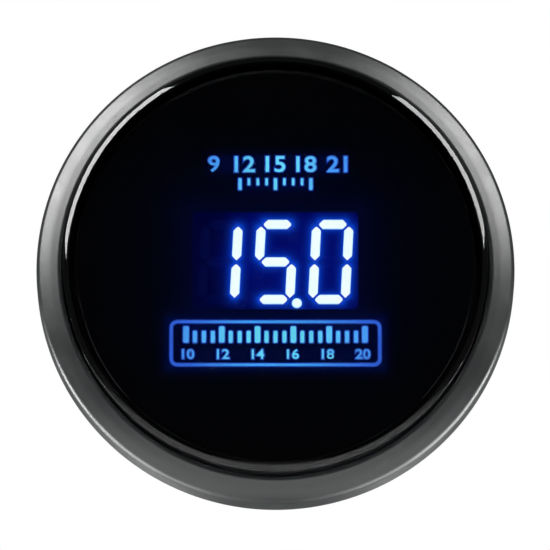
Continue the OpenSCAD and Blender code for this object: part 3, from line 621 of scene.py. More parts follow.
@dataclass(frozen=True)
class BackLitInk(Finish):
    """Light-blue translucent ink, brighter towards the middle of its legend."""

    middle: Colour
    ends: Colour
    reach: float
    strength: float

    def _paint(self, on: Surface) -> None:
        """Lets the light fade towards the legend's ends, and makes it slightly patchy."""
        graph = on.graph
        side = graph.math("ABSOLUTE", graph.add("ShaderNodeSeparateXYZ", {0: on.place}).outputs["X"])
        share = graph.fade(side, 0.15 * self.reach * MM, self.reach * MM)
        patches = on.use(Effect.GRAIN, Fineness=3000.0)["Mottle"]
        dim = graph.mix(graph.fade(patches, 0.25, 0.75, 0.82, 1.0), BLACK, WHITE)
        light = graph.mix(share, self.middle, self.ends)
        feeds = {
            "Base Color": (0.1, 0.25, 0.4, 1.0),
            "Roughness": 0.5,
            "Emission Color": graph.mix(1.0, light, dim, "MULTIPLY"),
            "Emission Strength": self.strength,
        }
        graph.feed_all(on.shader, feeds)


@dataclass(frozen=True)
class DisplayPlastic(Finish):
    """Dark blue plastic of the display, lit round the segments that are on."""

    base: Colour
    rest: Colour
    far: Colour
    near: Colour

    def _paint(self, on: Surface) -> None:
        """Lights the plastic near the lit segments, and faintly farther off."""
        graph = on.graph
        field_of = on.use(Effect.DIGIT_GLOW)
        patches = on.use(Effect.GRAIN, Fineness=6000.0)
        light = graph.mix(graph.fade(field_of["Spread"], 0.05, 1.5), self.rest, self.far)
        past = graph.math("SUBTRACT", field_of["Distance"], 0.6)
        halo = graph.math("EXPONENT", graph.times(past, -3.0))
        feeds = {
            "Base Color": graph.mix(patches["Mottle"], scaled(self.base, 0.8), self.base),
            "Roughness": 0.55,
            "Specular IOR Level": 0.1,
            "Emission Color": graph.mix(graph.math("MINIMUM", halo, 1.0), light, self.near),
            "Emission Strength": 1.0,
        }
        graph.feed_all(on.shader, feeds)
        graph.bump(on.shader, 0.08, 0.03, patches["Height"])


@dataclass(frozen=True)
class LitInsert(Finish):
    """White diffuser that glows, a little bluer towards its edges."""

    name: str = "lit_insert"
    core: Colour = (0.93, 1.0, 0.96)
    edge: Colour = (0.35, 0.75, 1.0)
    strength: float = 2.3

    def _paint(self, on: Surface) -> None:
        """Lights the insert, with its edges bluer and its middle slightly patchy."""
        graph = on.graph
        distance = on.use(Effect.DIGIT_GLOW)["Distance"]
        patches = on.use(Effect.GRAIN, Fineness=4000.0)["Mottle"]
        light = graph.mix(graph.fade(distance, 0.42, 0.62), self.core, self.edge)
        tint = graph.mix(patches, (0.9, 1.0, 0.97), WHITE)
        feeds = {
            "Base Color": (0.85, 0.9, 0.92, 1.0),
            "Roughness": 0.35,
            "Emission Color": graph.mix(1.0, light, tint, "MULTIPLY"),
            "Emission Strength": self.strength,
        }
        graph.feed_all(on.shader, feeds)


@dataclass(frozen=True)
class SolderMask(Finish):
    """Green varnish of a board over its glass weave and copper tracks."""

    name: str = "solder_mask"
    colour: Colour = (0.01, 0.11, 0.04)
    copper: Colour = (0.03, 0.2, 0.07)
    weave: Colour = (0.02, 0.06, 0.03)

    def _paint(self, on: Surface) -> None:
        """Shows the tracks and the weave through the varnish."""
        graph = on.graph
        tracks = graph.add(
            "ShaderNodeTexVoronoi", {"Vector": on.place, "Scale": 420.0}, feature="F1", distance="CHEBYCHEV"
        )
        track = graph.fade(tracks.outputs["Distance"], 0.42, 0.46)
        weave = on.use(Effect.GRAIN, Fineness=2600.0)
        colour = graph.mix(track, self.colour, self.copper)
        woven = graph.mix(graph.times(weave["Mottle"], 0.3), colour, self.weave)
        graph.feed_all(on.shader, {"Base Color": woven, "Roughness": 0.35})
        graph.bump(on.shader, 0.2, 0.03, graph.plus(track, graph.times(weave["Height"], 0.4)))


@dataclass(frozen=True)
class ClearLamp(Finish):
    """Clear resin over a small blue lamp."""

    light: Colour
    strength: float

    def _paint(self, on: Surface) -> None:
        """Lights the slightly cloudy resin."""
        graph = on.graph
        patches = on.use(Effect.GRAIN, Fineness=5000.0)["Mottle"]
        feeds = {
            "Base Color": graph.mix(patches, (0.5, 0.6, 0.75), (0.7, 0.8, 0.9)),
            "Roughness": 0.2,
            "Emission Color": graph.mix(patches, self.light, (0.2, 0.5, 1.0)),
            "Emission Strength": self.strength,
        }
        graph.feed_all(on.shader, feeds)


# ---------------------------------------------------------------- mesh tools


@dataclass(frozen=True)
class Corner:
    """A corner of a turned profile: radius, height in front of the panel, and rounding."""

    r: float
    z: float
    rounding: float = 0.0
    steps: int = 6


def place_of(x: float, y: float, z: float) -> Vector:
    """Point on the face, with z counted towards the viewer, as a point of the row frame."""
    return Vector((x * MM, -z * MM, y * MM))


def front_of(node: str) -> float:
    """Height of a CAD node's front, in millimetres in front of the panel."""
    return -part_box(node)[0].y / MM


def back_of(node: str) -> float:
    """Height of a CAD node's back, in millimetres in front of the panel."""
    return -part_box(node)[1].y / MM


def move(bm: Mesh, by: Sequence[float]) -> None:
    """Moves a whole mesh by a vector in metres."""
    bmesh.ops.translate(bm, verts=list(bm.verts), vec=by)


def rotate(bm: Mesh, angle: float, axis: str) -> None:
    """Turns a whole mesh about an axis through the origin, by an angle in radians."""
    turn = Matrix.Rotation(angle, 3, axis)
    bmesh.ops.rotate(bm, verts=list(bm.verts), cent=(0, 0, 0), matrix=turn)


def face_out(bm: Mesh) -> None:
    """Makes every face look outwards."""
    bmesh.ops.recalc_face_normals(bm, faces=list(bm.faces))


def bevel(bm: Mesh, geom: list[Any], offset: float, steps: int, affect: str) -> None:
    """Rounds corners or edges.

    Args:
        bm: the mesh.
        geom: its corners or edges.
        offset: where the rounding starts, counted from them in metres.
        steps: faces or edges across the rounding.
        affect: VERTICES or EDGES.
    """
    bmesh.ops.bevel(
        bm,
        geom=geom,
        offset=offset,
        offset_type="OFFSET",
        segments=steps,
        profile=0.5,
        affect=affect,
        clamp_overlap=True,
        material=-1,
    )


def round_corner(bm: Mesh, vert: bmesh.types.BMVert, radius: float, steps: int) -> None:
    """Rounds one corner of a flat outline.

    Args:
        bm: the mesh that holds the outline.
        vert: the corner.
        radius: its rounding, in millimetres.
        steps: edges along the arc.
    """
    one, two = [edge.other_vert(vert).co - vert.co for edge in vert.link_edges[:2]]
    bevel(bm, [vert], radius / math.tan(one.angle(two) / 2) * MM, steps, "VERTICES")


def turned(corners: Sequence[Corner], steps: int) -> Mesh:
    """Turns a profile about the gauge's axis.

    Args:
        corners: the closed profile. Corners at radius 0 lie on the axis.
        steps: faces round the axis.

    Returns:
        The closed surface.
    """
    bm = bmesh.new()
    verts = [bm.verts.new(place_of(c.r, 0.0, c.z)) for c in corners]
    outline = bm.faces.new(verts)
    for vert, corner in zip(verts, corners):
        if corner.rounding:
            round_corner(bm, vert, corner.rounding, corner.steps)
    bmesh.ops.delete(bm, geom=list(bm.faces), context="FACES_ONLY")
    axis_edges = [e for e in bm.edges if all(abs(v.co.x) < 1e-9 for v in e.verts)]
    bmesh.ops.delete(bm, geom=axis_edges, context="EDGES")
    bmesh.ops.spin(
        bm,
        geom=[*bm.verts, *bm.edges],
        cent=(0, 0, 0),
        axis=(0, 1, 0),
        angle=math.tau,
        steps=steps,
        use_merge=True,
        use_duplicate=False,
    )
    bmesh.ops.remove_doubles(bm, verts=list(bm.verts), dist=1e-7)
    face_out(bm)
    return bm


def prism(outline: Sequence[Point], back: float, front: float, rounding: float = 0.0) -> Mesh:
    """Extrudes a flat outline on the face.

    Args:
        outline: its corners, in order.
        back: height of its back in front of the panel.
        front: height of its front.
        rounding: rounding of its corners.

    Returns:
        The closed prism.
    """
    bm = bmesh.new()
    verts = [bm.verts.new(place_of(x, y, back)) for x, y in outline]
    bm.faces.new(verts)
    if rounding:
        for vert in verts:
            round_corner(bm, vert, rounding, 4)
    side = bmesh.ops.extrude_face_region(bm, geom=list(bm.faces))
    moved = [item for item in side["geom"] if isinstance(item, bmesh.types.BMVert)]
    bmesh.ops.translate(bm, verts=moved, vec=place_of(0.0, 0.0, front - back))
    face_out(bm)
    return bm


def oblong(x: float, y: float, half_w: float, half_h: float) -> list[Point]:
    """Corners of a rectangle round a point of the face."""
    return [(x + a * half_w, y + b * half_h) for a, b in ((-1, -1), (1, -1), (1, 1), (-1, 1))]


def end_faces(bm: Mesh) -> list[bmesh.types.BMFace]:
    """Faces that look along the gauge's axis."""
    return [face for face in bm.faces if abs(face.normal.y) > 0.9]


def softened(node: str, width: float, angle: float) -> Mesh:
    """Copies a CAD node's mesh and rounds its sharp outer edges a little.

    Args:
        node: the CAD node.
        width: width of the rounding, in millimetres.
        angle: edges that turn more than this, in degrees, are sharp.

    Returns:
        The copy.
    """
    bm = bmesh.new()
    bm.from_mesh(frame["nodes"][node].data)
    bmesh.ops.remove_doubles(bm, verts=list(bm.verts), dist=1e-6)
    bmesh.ops.dissolve_limit(
        bm,
        angle_limit=math.radians(0.3),
        verts=list(bm.verts),
        edges=list(bm.edges),
        use_dissolve_boundaries=False,
    )
    sharp = [e for e in bm.edges if e.is_manifold and e.calc_face_angle() > math.radians(angle)]
    bevel(bm, sharp, width * MM, 2, "EDGES")
    return bm


def to_and_fro(turns: float) -> float:
    """Wave that falls from 1 to 0 and rises to 1 again in each turn."""
    return abs((turns % 1.0) * 2.0 - 1.0)


def reshape(
    bm: Mesh,
    outer: float,
    new_radius: Callable[[float, float], float],
    low: float = -math.inf,
    high: float = math.inf,
) -> None:
    """Moves the outer points of a turned surface towards its axis or away from it.

    Args:
        bm: the surface, still on the gauge's axis.
        outer: points beyond this radius move.
        new_radius: gives a point's radius from its turn, in whole turns, and its height.
        low: only points above this height move.
        high: only points below this height move.
    """
    for vert in bm.verts:
        radius = math.hypot(vert.co.x, vert.co.z) / MM
        height = -vert.co.y / MM
        if radius > outer and low < height < high:
            turn = math.atan2(vert.co.z, vert.co.x) / math.tau
            scale = new_radius(turn, height) / radius
            vert.co.x *= scale
            vert.co.z *= scale


def join(parts: Iterable[Mesh]) -> Mesh:
    """Puts several meshes into one and frees them."""
    whole = bmesh.new()
    for part in parts:
        step = bpy.data.meshes.new("step")
        part.to_mesh(step)
        part.free()
        whole.from_mesh(step)
        bpy.data.meshes.remove(step)
    return whole


def link(thing: bpy.types.Object) -> None:
    """Adds an object to the scene."""
    bpy.context.scene.collection.objects.link(thing)


def make_piece(
    bm: Mesh,
    name: str,
    body: Rides,
    material: Material,
    replaced: Sequence[str] = (),
    sharp: float = 40.0,
) -> bpy.types.Object:
    """Turns a mesh into a finished piece of the gauge.

    Args:
        bm: its mesh, which is freed.
        name: the piece's name.
        body: the body that it rides on.
        material: its finish.
        replaced: CAD nodes that it stands for.
        sharp: edges that turn more than this, in degrees, stay sharp.

    Returns:
        The piece.
    """
    mesh = bpy.data.meshes.new(name)
    bm.to_mesh(mesh)
    bm.free()
    mesh.polygons.foreach_set("use_smooth", [True] * len(mesh.polygons))
    mesh.set_sharp_from_angle(angle=math.radians(sharp))
    mesh.materials.append(material)
    piece = bpy.data.objects.new(name, mesh)
    link(piece)
    even = piece.modifiers.new("even_shading", "WEIGHTED_NORMAL")
    even.keep_sharp = True
    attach(piece, body.value)
    if replaced:
        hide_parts(*replaced)
    LOG.info("piece %s: %d faces on %s", name, len(mesh.polygons), body.value)
    return piece


def dress(node: str, material: Material) -> None:
    """Gives a CAD node that keeps its shape its finish."""
    piece = frame["nodes"][node]
    piece.data.materials.clear()
    piece.data.materials.append(material)
    LOG.info("node %s keeps its shape, in %s", node, material.name)


# ---------------------------------------------------------------- sub-assemblies


@dataclass(frozen=True)
class DigitLayout:
    """Places of the display's segments, as in the part's source."""

    reading: str = "15.0"
    rise: float = 0.8
    pitch: float = 6.95
    width: float = 4.07
    height: float = 9.64
    segment: float = 1.2
    gap: float = 0.22
    point: float = 1.25
    point_out: float = 0.92
    point_drop: float = 0.48
    slant: float = 3.0

    # Middle of each segment, as shares of half a digit, and whether it stands upright
    SEGMENTS = (
        (0, 1, False),
        (1, 0.5, True),
        (1, -0.5, True),
        (0, -1, False),
        (-1, -0.5, True),
        (-1, 0.5, True),
        (0, 0, False),
    )
    # Segments of the digits 0 to 9
    LIT = ("012345", "12", "01346", "01236", "1256", "02356", "023456", "012", "0123456", "012356")

    def digits(self) -> list[int]:
        """Digits of the reading, without its point."""
        return [int(mark) for mark in self.reading if mark != "."]

    def cells(self, lit: bool) -> list[tuple[int, int]]:
        """Digit and segment numbers of all segments that are on, or off."""
        return [
            (i, s)
            for i, digit in enumerate(self.digits())
            for s in range(len(self.SEGMENTS))
            if (str(s) in self.LIT[digit]) == lit
        ]

    def points(self, lit: bool) -> list[int]:
        """Digits whose decimal point is on, or off."""
        shown = self.reading.index(".") - 1
        return [i for i in range(len(self.digits())) if (i == shown) == lit]

    def lean(self, x: float, y: float, digit: int) -> Point:
        """Leans a digit's point and moves it to its place on the face."""
        shift = (digit - (len(self.digits()) - 1) / 2) * self.pitch
        return x + y * math.tan(math.radians(self.slant)) + shift, y + self.rise

    def outline(self, digit: int, number: int, inset: float = 0.0) -> list[Point]:
        """Six corners of a segment on the face.

        Args:
            digit: number of the digit.
            number: number of the segment in it.
            inset: how far its sides move inwards.

        Returns:
            The corners, in order.
        """
        share_x, share_y, upright = self.SEGMENTS[number]
        span = self.height / 2 if upright else self.width
        half_w = self.segment / 2 - inset
        half_l = span / 2 - self.gap - inset * math.sqrt(2)
        corners = [
            (-half_l, 0.0),
            (half_w - half_l, half_w),
            (half_l - half_w, half_w),
            (half_l, 0.0),
            (half_l - half_w, -half_w),
            (half_w - half_l, -half_w),
        ]
        middle_x, middle_y = share_x * self.width / 2, share_y * self.height / 2
        return [
            self.lean(middle_x + (-b if upright else a), middle_y + (a if upright else b), digit)
            for a, b in corners
        ]

    def point_middle(self, digit: int) -> Point:
        """Middle of a digit's decimal point on the face."""
        return self.lean(self.width / 2 + self.point_out, -self.height / 2 - self.point_drop, digit)

    def lit_lines(self) -> list[tuple[Point, Point]]:
        """Middle line of each lit segment and point, for the light round them."""
        lines = []
        for digit, number in self.cells(True):
            corners = self.outline(digit, number)
            ends = []
            for tip, one, two in ((0, 1, 5), (3, 2, 4)):
                root = [(corners[one][k] + corners[two][k]) / 2 for k in (0, 1)]
                ends.append(tuple(0.75 * root[k] + 0.25 * corners[tip][k] for k in (0, 1)))
            lines.append((ends[0], ends[1]))
        for digit in self.points(True):
            middle = self.point_middle(digit)
            lines.append((middle, middle))
        return lines


@dataclass
class Bezel:
    """Satin trim ring with a sloping face, a rolled inner edge and six snap lugs."""

    outer: float = 30.0
    bore: float = 28.1
    mouth: float = 26.75
    side: float = 4.4
    face: float = 5.75
    lip: float = 4.2
    edge_r: float = 0.9
    roll_r: float = 0.5
    rear_r: float = 0.3
    crown_at: float = 28.45
    crown: float = 0.12
    crown_r: float = 6.0
    lug_reach: float = 0.4
    lug_low: float = 0.9
    lug_high: float = 1.7
    lug_length: float = 11.0
    lug_count: int = 6
    finish: Moulding = Moulding(
        "bezel_satin_black",
        colour=(0.006, 0.0072, 0.0074),
        roughness=0.34,
        fineness=8500.0,
        grain=0.3,
        mottle=0.12,
        wear=3.0,
        ior=1.55,
        specular=0.7,
    )

    def ring(self) -> Mesh:
        """Turned ring, whose face bows out a little."""
        slope = (self.face - self.side) / (self.outer - self.mouth)
        crown_z = self.side + (self.outer - self.crown_at) * slope + self.crown
        return turned(
            [
                Corner(self.bore, 0.0),
                Corner(self.outer, 0.0, self.rear_r, 4),
                Corner(self.outer, self.side, self.edge_r, 8),
                Corner(self.crown_at, crown_z, self.crown_r, 12),
                Corner(self.mouth, self.face, self.roll_r, 12),
                Corner(self.mouth, self.lip, 0.1, 2),
                Corner(self.bore, self.lip),
            ],
            256,
        )

    def lug(self, number: int) -> Mesh:
        """One snap lug inside the ring."""
        bm = bmesh.new()
        middle = (self.lug_low + self.lug_high) / 2
        section = [
            (self.bore + 0.1, self.lug_low),
            (self.bore - self.lug_reach / 2, self.lug_low),
            (self.bore - self.lug_reach, middle),
            (self.bore - self.lug_reach, self.lug_high),
            (self.bore + 0.1, self.lug_high),
        ]
        bm.faces.new([bm.verts.new(place_of(r, 0.0, z)) for r, z in section])
        turn = self.lug_length / self.bore
        bmesh.ops.spin(
            bm, geom=list(bm.faces), cent=(0, 0, 0), axis=(0, 1, 0), angle=turn, steps=16, use_duplicate=False
        )
        start = number * math.tau / self.lug_count - turn / 2
        rotate(bm, start, "Y")
        face_out(bm)
        return bm

    def build(self, effects: EffectLibrary) -> None:
        """Makes the ring with its lugs."""
        whole = join([self.ring(), *(self.lug(i) for i in range(self.lug_count))])
        satin = self.finish.material(effects)
        make_piece(whole, "bezel_ring", Rides.GAUGE, satin, ["bezel"])


@dataclass
class LensCap:
    """Polished cap with a bevelled front edge and a flange under the bezel."""

    outer: float = 26.6
    skirt: float = 25.1
    flange: float = 27.95
    foot: float = 3.1
    lip: float = 4.2
    front: float = 8.1
    back: float = 6.1
    slope_r: float = 25.3
    slope: float = 8.0
    slope_rounding: float = 1.5
    bevel_r: float = 25.95
    bevel: float = 21.0
    bevel_rounding: float = 0.6
    edge_r: float = 26.3
    edge: float = 29.0
    edge_rounding: float = 3.0
    shoulder_r: float = 0.12
    inner_r: float = 0.05
    finish: SmokedAcrylic = SmokedAcrylic()

    def build(self, effects: EffectLibrary) -> None:
        """Makes the cap, whose front bends over in three ever steeper steps."""
        bend = self.front - (self.bevel_r - self.slope_r) * math.tan(math.radians(self.slope))
        edge = bend - (self.edge_r - self.bevel_r) * math.tan(math.radians(self.bevel))
        shoulder = edge - (self.outer - self.edge_r) * math.tan(math.radians(self.edge))
        cap = turned(
            [
                Corner(0.0, self.back),
                Corner(self.skirt, self.back, self.inner_r, 2),
                Corner(self.skirt, self.foot),
                Corner(self.flange, self.foot),
                Corner(self.flange, self.lip),
                Corner(self.outer, self.lip),
                Corner(self.outer, shoulder, self.shoulder_r, 6),
                Corner(self.edge_r, edge, self.edge_rounding, 6),
                Corner(self.bevel_r, bend, self.bevel_rounding, 4),
                Corner(self.slope_r, self.front, self.slope_rounding, 6),
                Corner(0.0, self.front),
            ],
            256,
        )
        make_piece(cap, "lens_cap", Rides.GAUGE, self.finish.material(effects), ["lens"])


@dataclass(frozen=True)
class NumberRow:
    """A row of plain numbers on the face: the numbers, their middle's height and their size."""

    marks: range
    y: float
    height: float
    width: float


@dataclass(frozen=True)
class BarRow:
    """A row of bars on the face, of which the first and every fourth after it are large.

    The bars hang from one level where hang is 1, and stand on one where it is -1.
    """

    count: int
    y: float
    height: float
    width: float
    bar_w: float
    small_w: float
    small_share: float
    hang: int


@dataclass
class Dial:
    """Black face with two back-lit legends: plain numbers, ticks and bars."""

    face: float = 5.3
    sink: float = 0.02
    raise_by: float = 0.03
    light: Colour = (0.14, 0.78, 1.0)
    ends: Colour = (0.06, 0.33, 0.96)
    line_light: Colour = (0.05, 0.4, 0.95)
    line_ends: Colour = (0.025, 0.13, 0.75)
    halo_light: Colour = (0.0, 0.008, 0.32)
    halo: float = 0.14
    font_height: float = 0.7
    font_widening: float = 1.12
    boldness: float = 0.016
    strength: float = 2.2

    numbers: NumberRow = NumberRow(range(9, 22, 3), y=13.14, height=2.06, width=16.9)
    ticks: BarRow = BarRow(9, 10.56, 1.5, 8.9, bar_w=0.42, small_w=0.32, small_share=0.6, hang=1)
    bars: BarRow = BarRow(21, -8.75, 2.1, 22.4, bar_w=0.7, small_w=0.5, small_share=0.72, hang=-1)
    scale: NumberRow = NumberRow(range(10, 22, 2), y=-11.25, height=1.25, width=23.4)
    frame_y: float = -9.87
    frame_w: float = 26.4
    frame_h: float = 5.8
    frame_line: float = 0.3
    frame_r: float = 0.9

    def build(self, effects: EffectLibrary) -> None:
        """Makes the legends, the light that hugs them, and dresses the plate."""

        def ink(name: str, middle: Colour, ends: Colour, reach: float) -> Material:
            """Makes one legend's light, which reaches its ends at a distance in millimetres."""
            return BackLitInk(name, middle, ends, reach, self.strength).material(effects)

        upper = ink("upper_legend_light", self.light, self.ends, 8.5)
        lower = ink("lower_legend_light", self.light, self.ends, 13.5)
        line = ink("frame_light", self.line_light, self.line_ends, 13.0)
        halo = ink("halo_light", self.halo_light, self.halo_light, 13.5)
        rows: dict[str, tuple[Callable[[float], Mesh], Material]] = {
            "upper_numbers": (partial(self._numbers, self.numbers), upper),
            "upper_ticks": (partial(self._bars, self.ticks), upper),
            "lower_frame": (self._frame, line),
            "lower_bars": (partial(self._bars, self.bars), lower),
            "lower_numbers": (partial(self._numbers, self.scale), lower),
        }
        for name, (row, light) in rows.items():
            make_piece(row(0.0), name, Rides.GAUGE, light)
            make_piece(row(self.halo), f"{name}_halo", Rides.GAUGE, halo)
        dress("dial_plate", DialPrint(boxes=self._glow()).material(effects))

    def _glow(self) -> tuple[GlowBox, ...]:
        """Rectangles from which the light of the legends and the display spreads."""
        return (
            GlowBox((0.0, self.numbers.y), (self.numbers.width / 2 - 0.4, 0.8), 0.5, strength=0.25),
            GlowBox((0.0, self.ticks.y), (self.ticks.width / 2 - 0.4, 0.5), 0.5, strength=0.25),
            GlowBox((0.0, self.frame_y), (self.frame_w / 2, self.frame_h / 2), 0.5, 1.0, 0.6),
            GlowBox((0.0, self.bars.y), (self.bars.width / 2, 0.8), 0.5, strength=0.35),
            GlowBox((0.0, self.scale.y), (self.scale.width / 2, 0.4), 0.5, strength=0.25),
            GlowBox((0.0, 0.8), (9.6, 5.4), 2.6, strength=0.25),
        )

    def _film(self, outline: Sequence[Point], spread: float, rounding: float) -> Mesh:
        """Thin film on the dial, with its corners rounded."""
        return prism(outline, self.face - self.sink, self.face + self._rise(spread), rounding)

    def _rise(self, spread: float) -> float:
        """Height of a film over the dial. The halo's film is the thinner one."""
        return self.raise_by / 2 if spread else self.raise_by

    def _bars(self, row: BarRow, spread: float) -> Mesh:
        """Row of bars with rounded ends.

        Args:
            row: the row.
            spread: how far its halo reaches past the bars, or 0 for the bars themselves.

        Returns:
            The bars as one mesh.
        """
        level = row.y + row.hang * row.height / 2
        bars = []
        for i in range(row.count):
            large = i % 4 == 0
            width = row.bar_w if large else row.small_w
            height = row.height if large else row.small_share * row.height
            x = (i / (row.count - 1) - 0.5) * row.width
            y = level - row.hang * height / 2
            outline = oblong(x, y, width / 2 + spread, height / 2 + spread)
            bars.append(self._film(outline, spread, 0.3 * width + spread / 2))
        return join(bars)

    def _frame(self, spread: float) -> Mesh:
        """Rounded rectangular line round the lower legend, or its halo."""
        outline = oblong(0.0, self.frame_y, self.frame_w / 2 + spread, self.frame_h / 2 + spread)
        bm = self._film(outline, spread, self.frame_r + spread)
        line = (self.frame_line + 2 * spread) * MM
        bmesh.ops.inset_region(bm, faces=end_faces(bm), thickness=line, use_even_offset=True)
        # The line's own faces have four corners, and the two inside it have many
        inside = [face for face in end_faces(bm) if len(face.verts) > 8]
        front, back = sorted(inside, key=lambda face: face.normal.y)
        bmesh.ops.bridge_loops(bm, edges=[*front.edges, *back.edges])
        bmesh.ops.delete(bm, geom=[front, back], context="FACES_ONLY")
        face_out(bm)
        return bm

    def _numbers(self, row: NumberRow, spread: float) -> Mesh:
        """Row of plain numbers.

        Args:
            row: the row.
            spread: how far its halo reaches past the numbers, or 0 for the numbers themselves.

        Returns:
            The numbers as one mesh.
        """
        numbers = [self._number(str(mark), row.height, spread) for mark in row.marks]
        half = max(v.co.x for v in numbers[0].verts) - spread * MM
        reach = row.width / 2 * MM - half
        for i, number in enumerate(numbers):
            x = (2 * i / (len(numbers) - 1) - 1) * reach
            move(number, (x, 0.0, row.y * MM))
        return join(numbers)

    def _number(self, mark: str, height: float, spread: float) -> Mesh:
        """One number, centred on the axis, of the given height, or its halo."""
        curve = bpy.data.curves.new("number", "FONT")
        curve.body = mark
        swell = self.font_height / height * spread
        curve.offset = self.boldness + swell
        curve.extrude = 0.01
        curve.resolution_u = 5
        text = bpy.data.objects.new("number", curve)
        link(text)
        bpy.context.view_layer.update()
        laid_out = text.evaluated_get(bpy.context.evaluated_depsgraph_get())
        mesh = bpy.data.meshes.new_from_object(laid_out)
        bpy.data.objects.remove(text)
        bm = bmesh.new()
        bm.from_mesh(mesh)
        bpy.data.meshes.remove(mesh)
        bmesh.ops.remove_doubles(bm, verts=list(bm.verts), dist=1e-5)
        low = [min(v.co[k] for v in bm.verts) for k in range(3)]
        high = [max(v.co[k] for v in bm.verts) for k in range(3)]
        middle = [(low[k] + high[k]) / 2 for k in range(3)]
        scale = height * MM / (high[1] - low[1] - 2 * swell)
        film = (self._rise(spread) + self.sink) * MM / (high[2] - low[2])
        move(bm, [-m for m in middle])
        bmesh.ops.scale(bm, verts=list(bm.verts), vec=(self.font_widening * scale, scale, film))
        rotate(bm, math.pi / 2, "X")
        lift = self.face + (self._rise(spread) - self.sink) / 2
        move(bm, (0.0, -lift * MM, 0.0))
        return bm


@dataclass
class Display:
    """Three-digit block: its dark body, the inserts that glow and those that are off."""

    layout: DigitLayout
    front: float = 4.3
    depth: float = 1.0
    tip_r: float = 0.22
    inset: float = 0.02

    def build(self, effects: EffectLibrary) -> None:
        """Makes the inserts and dresses the block."""
        lit = LitInsert().material(effects)
        off = DisplayPlastic(
            "dark_insert",
            base=(0.006, 0.012, 0.08),
            rest=(0.0, 0.002, 0.075),
            far=(0.0, 0.006, 0.34),
            near=(0.004, 0.09, 1.0),
        ).material(effects)
        block = DisplayPlastic(
            "display_block",
            base=(0.003, 0.004, 0.03),
            rest=(0.0, 0.001, 0.06),
            far=(0.0, 0.006, 0.36),
            near=(0.006, 0.12, 1.3),
        ).material(effects)
        self._inserts("lit_inserts", True, lit, "display_segments_lit")
        self._inserts("dark_inserts", False, off, "display_segments_dark")
        dress("display_body", block)

    def _inserts(self, name: str, lit: bool, finish: Material, node: str) -> None:
        """Makes all inserts that are on, or off.

        Args:
            name: the piece's name.
            lit: whether they are on.
            finish: their material.
            node: the CAD node that they stand for.
        """
        back = self.front - self.depth
        parts = [
            prism(self.layout.outline(digit, number, self.inset), back, self.front, self.tip_r)
            for digit, number in self.layout.cells(lit)
        ]
        parts += [self._dot(self.layout.point_middle(digit), back) for digit in self.layout.points(lit)]
        make_piece(join(parts), name, Rides.GAUGE, finish, [node])

    def _dot(self, middle: Point, back: float) -> Mesh:
        """Round insert of a decimal point."""
        radius = self.layout.point / 2
        dot = turned(
            [Corner(0.0, back), Corner(radius, back), Corner(radius, self.front), Corner(0.0, self.front)], 40
        )
        move(dot, place_of(middle[0], middle[1], 0.0))
        return dot


@dataclass
class Inside:
    """What lies behind the dial. Its CAD shapes stay, each with its own finish."""

    def build(self, effects: EffectLibrary) -> None:
        """Dresses every inner node."""
        board = SolderMask().material(effects)
        resin = Moulding("chip_resin", (0.012, 0.012, 0.013), 0.55, 14000.0, 0.2).material(effects)
        black = Moulding("strip_black", (0.01, 0.01, 0.01), 0.4, 9000.0, 0.1).material(effects)
        white = Moulding("light_box_white", (0.8, 0.8, 0.78), 0.45, 8000.0, 0.1, 0.03).material(effects)
        rubber = Moulding("gasket_rubber", (0.012, 0.012, 0.012), 0.8, 6000.0, 0.3).material(effects)
        sleeve = Moulding("capacitor_sleeve", (0.02, 0.03, 0.1), 0.3, 5000.0, 0.05).material(effects)
        gilt = Metal("gilt_pin", (0.9, 0.68, 0.3), (0.7, 0.5, 0.22), 0.22, Along.Y).material(effects)
        tin = Metal("tinned_pin", (0.75, 0.75, 0.73), (0.5, 0.5, 0.5), 0.25, Along.Y).material(effects)
        brass = Metal("turned_brass", (0.76, 0.58, 0.28), (0.5, 0.36, 0.17), 0.28).material(effects)
        zinc = Metal("inner_zinc", (0.62, 0.63, 0.65), (0.42, 0.43, 0.44), 0.3).material(effects)
        lamp = ClearLamp("backlight_lamp", (0.05, 0.25, 1.0), 1.5).material(effects)
        die = ClearLamp("display_die", (0.2, 0.5, 1.0), 1.5).material(effects)
        for slot, finish, nodes in (
            ("gasket_rubber", rubber, ("lens_gasket",)),
            ("white_plastic", white, ("light_box",)),
            ("led_clear", die, ("display_leds",)),
            ("backlight", lamp, ("backlight_leds",)),
            ("board_green", board, ("display_board", "main_board", "power_board")),
            ("chip_black", resin, ("microcontroller", "driver_chip", "voltage_regulator", "resistors")),
            ("header_black", black, ("board_header", "pin_header")),
            ("can_blue", sleeve, ("capacitor",)),
            ("tinned_pins", tin, ("display_pins",)),
            ("gilt_pins", gilt, ("header_pins", "socket_pins")),
            ("brass", brass, ("board_spacers",)),
            ("zinc_steel", zinc, ("board_screws",)),
        ):
            for node in nodes:
                dress(node, finish)


@dataclass
class Shell:
    """Housing cup and harness socket, with their moulded edges rounded."""

    edge: float = 0.15
    sharp: float = 50.0
    housing: Moulding = Moulding(
        "housing_black", (0.018, 0.018, 0.019), 0.5, 5200.0, 0.4, 0.15, wear=4.0, dust=0.05
    )
    socket: Moulding = Moulding("socket_black", (0.014, 0.014, 0.014), 0.36, 9000.0, 0.15, 0.1, wear=3.0)

    def build(self, effects: EffectLibrary) -> None:
        """Makes the housing and the socket."""
        for node, name, slot, finish in (
            ("housing", "housing_cup", "housing_black", self.housing),
            ("socket", "harness_inlet", "socket_black", self.socket),
        ):
            shape = softened(node, self.edge, self.sharp)
            make_piece(shape, name, Rides.GAUGE, finish.material(effects), [node])


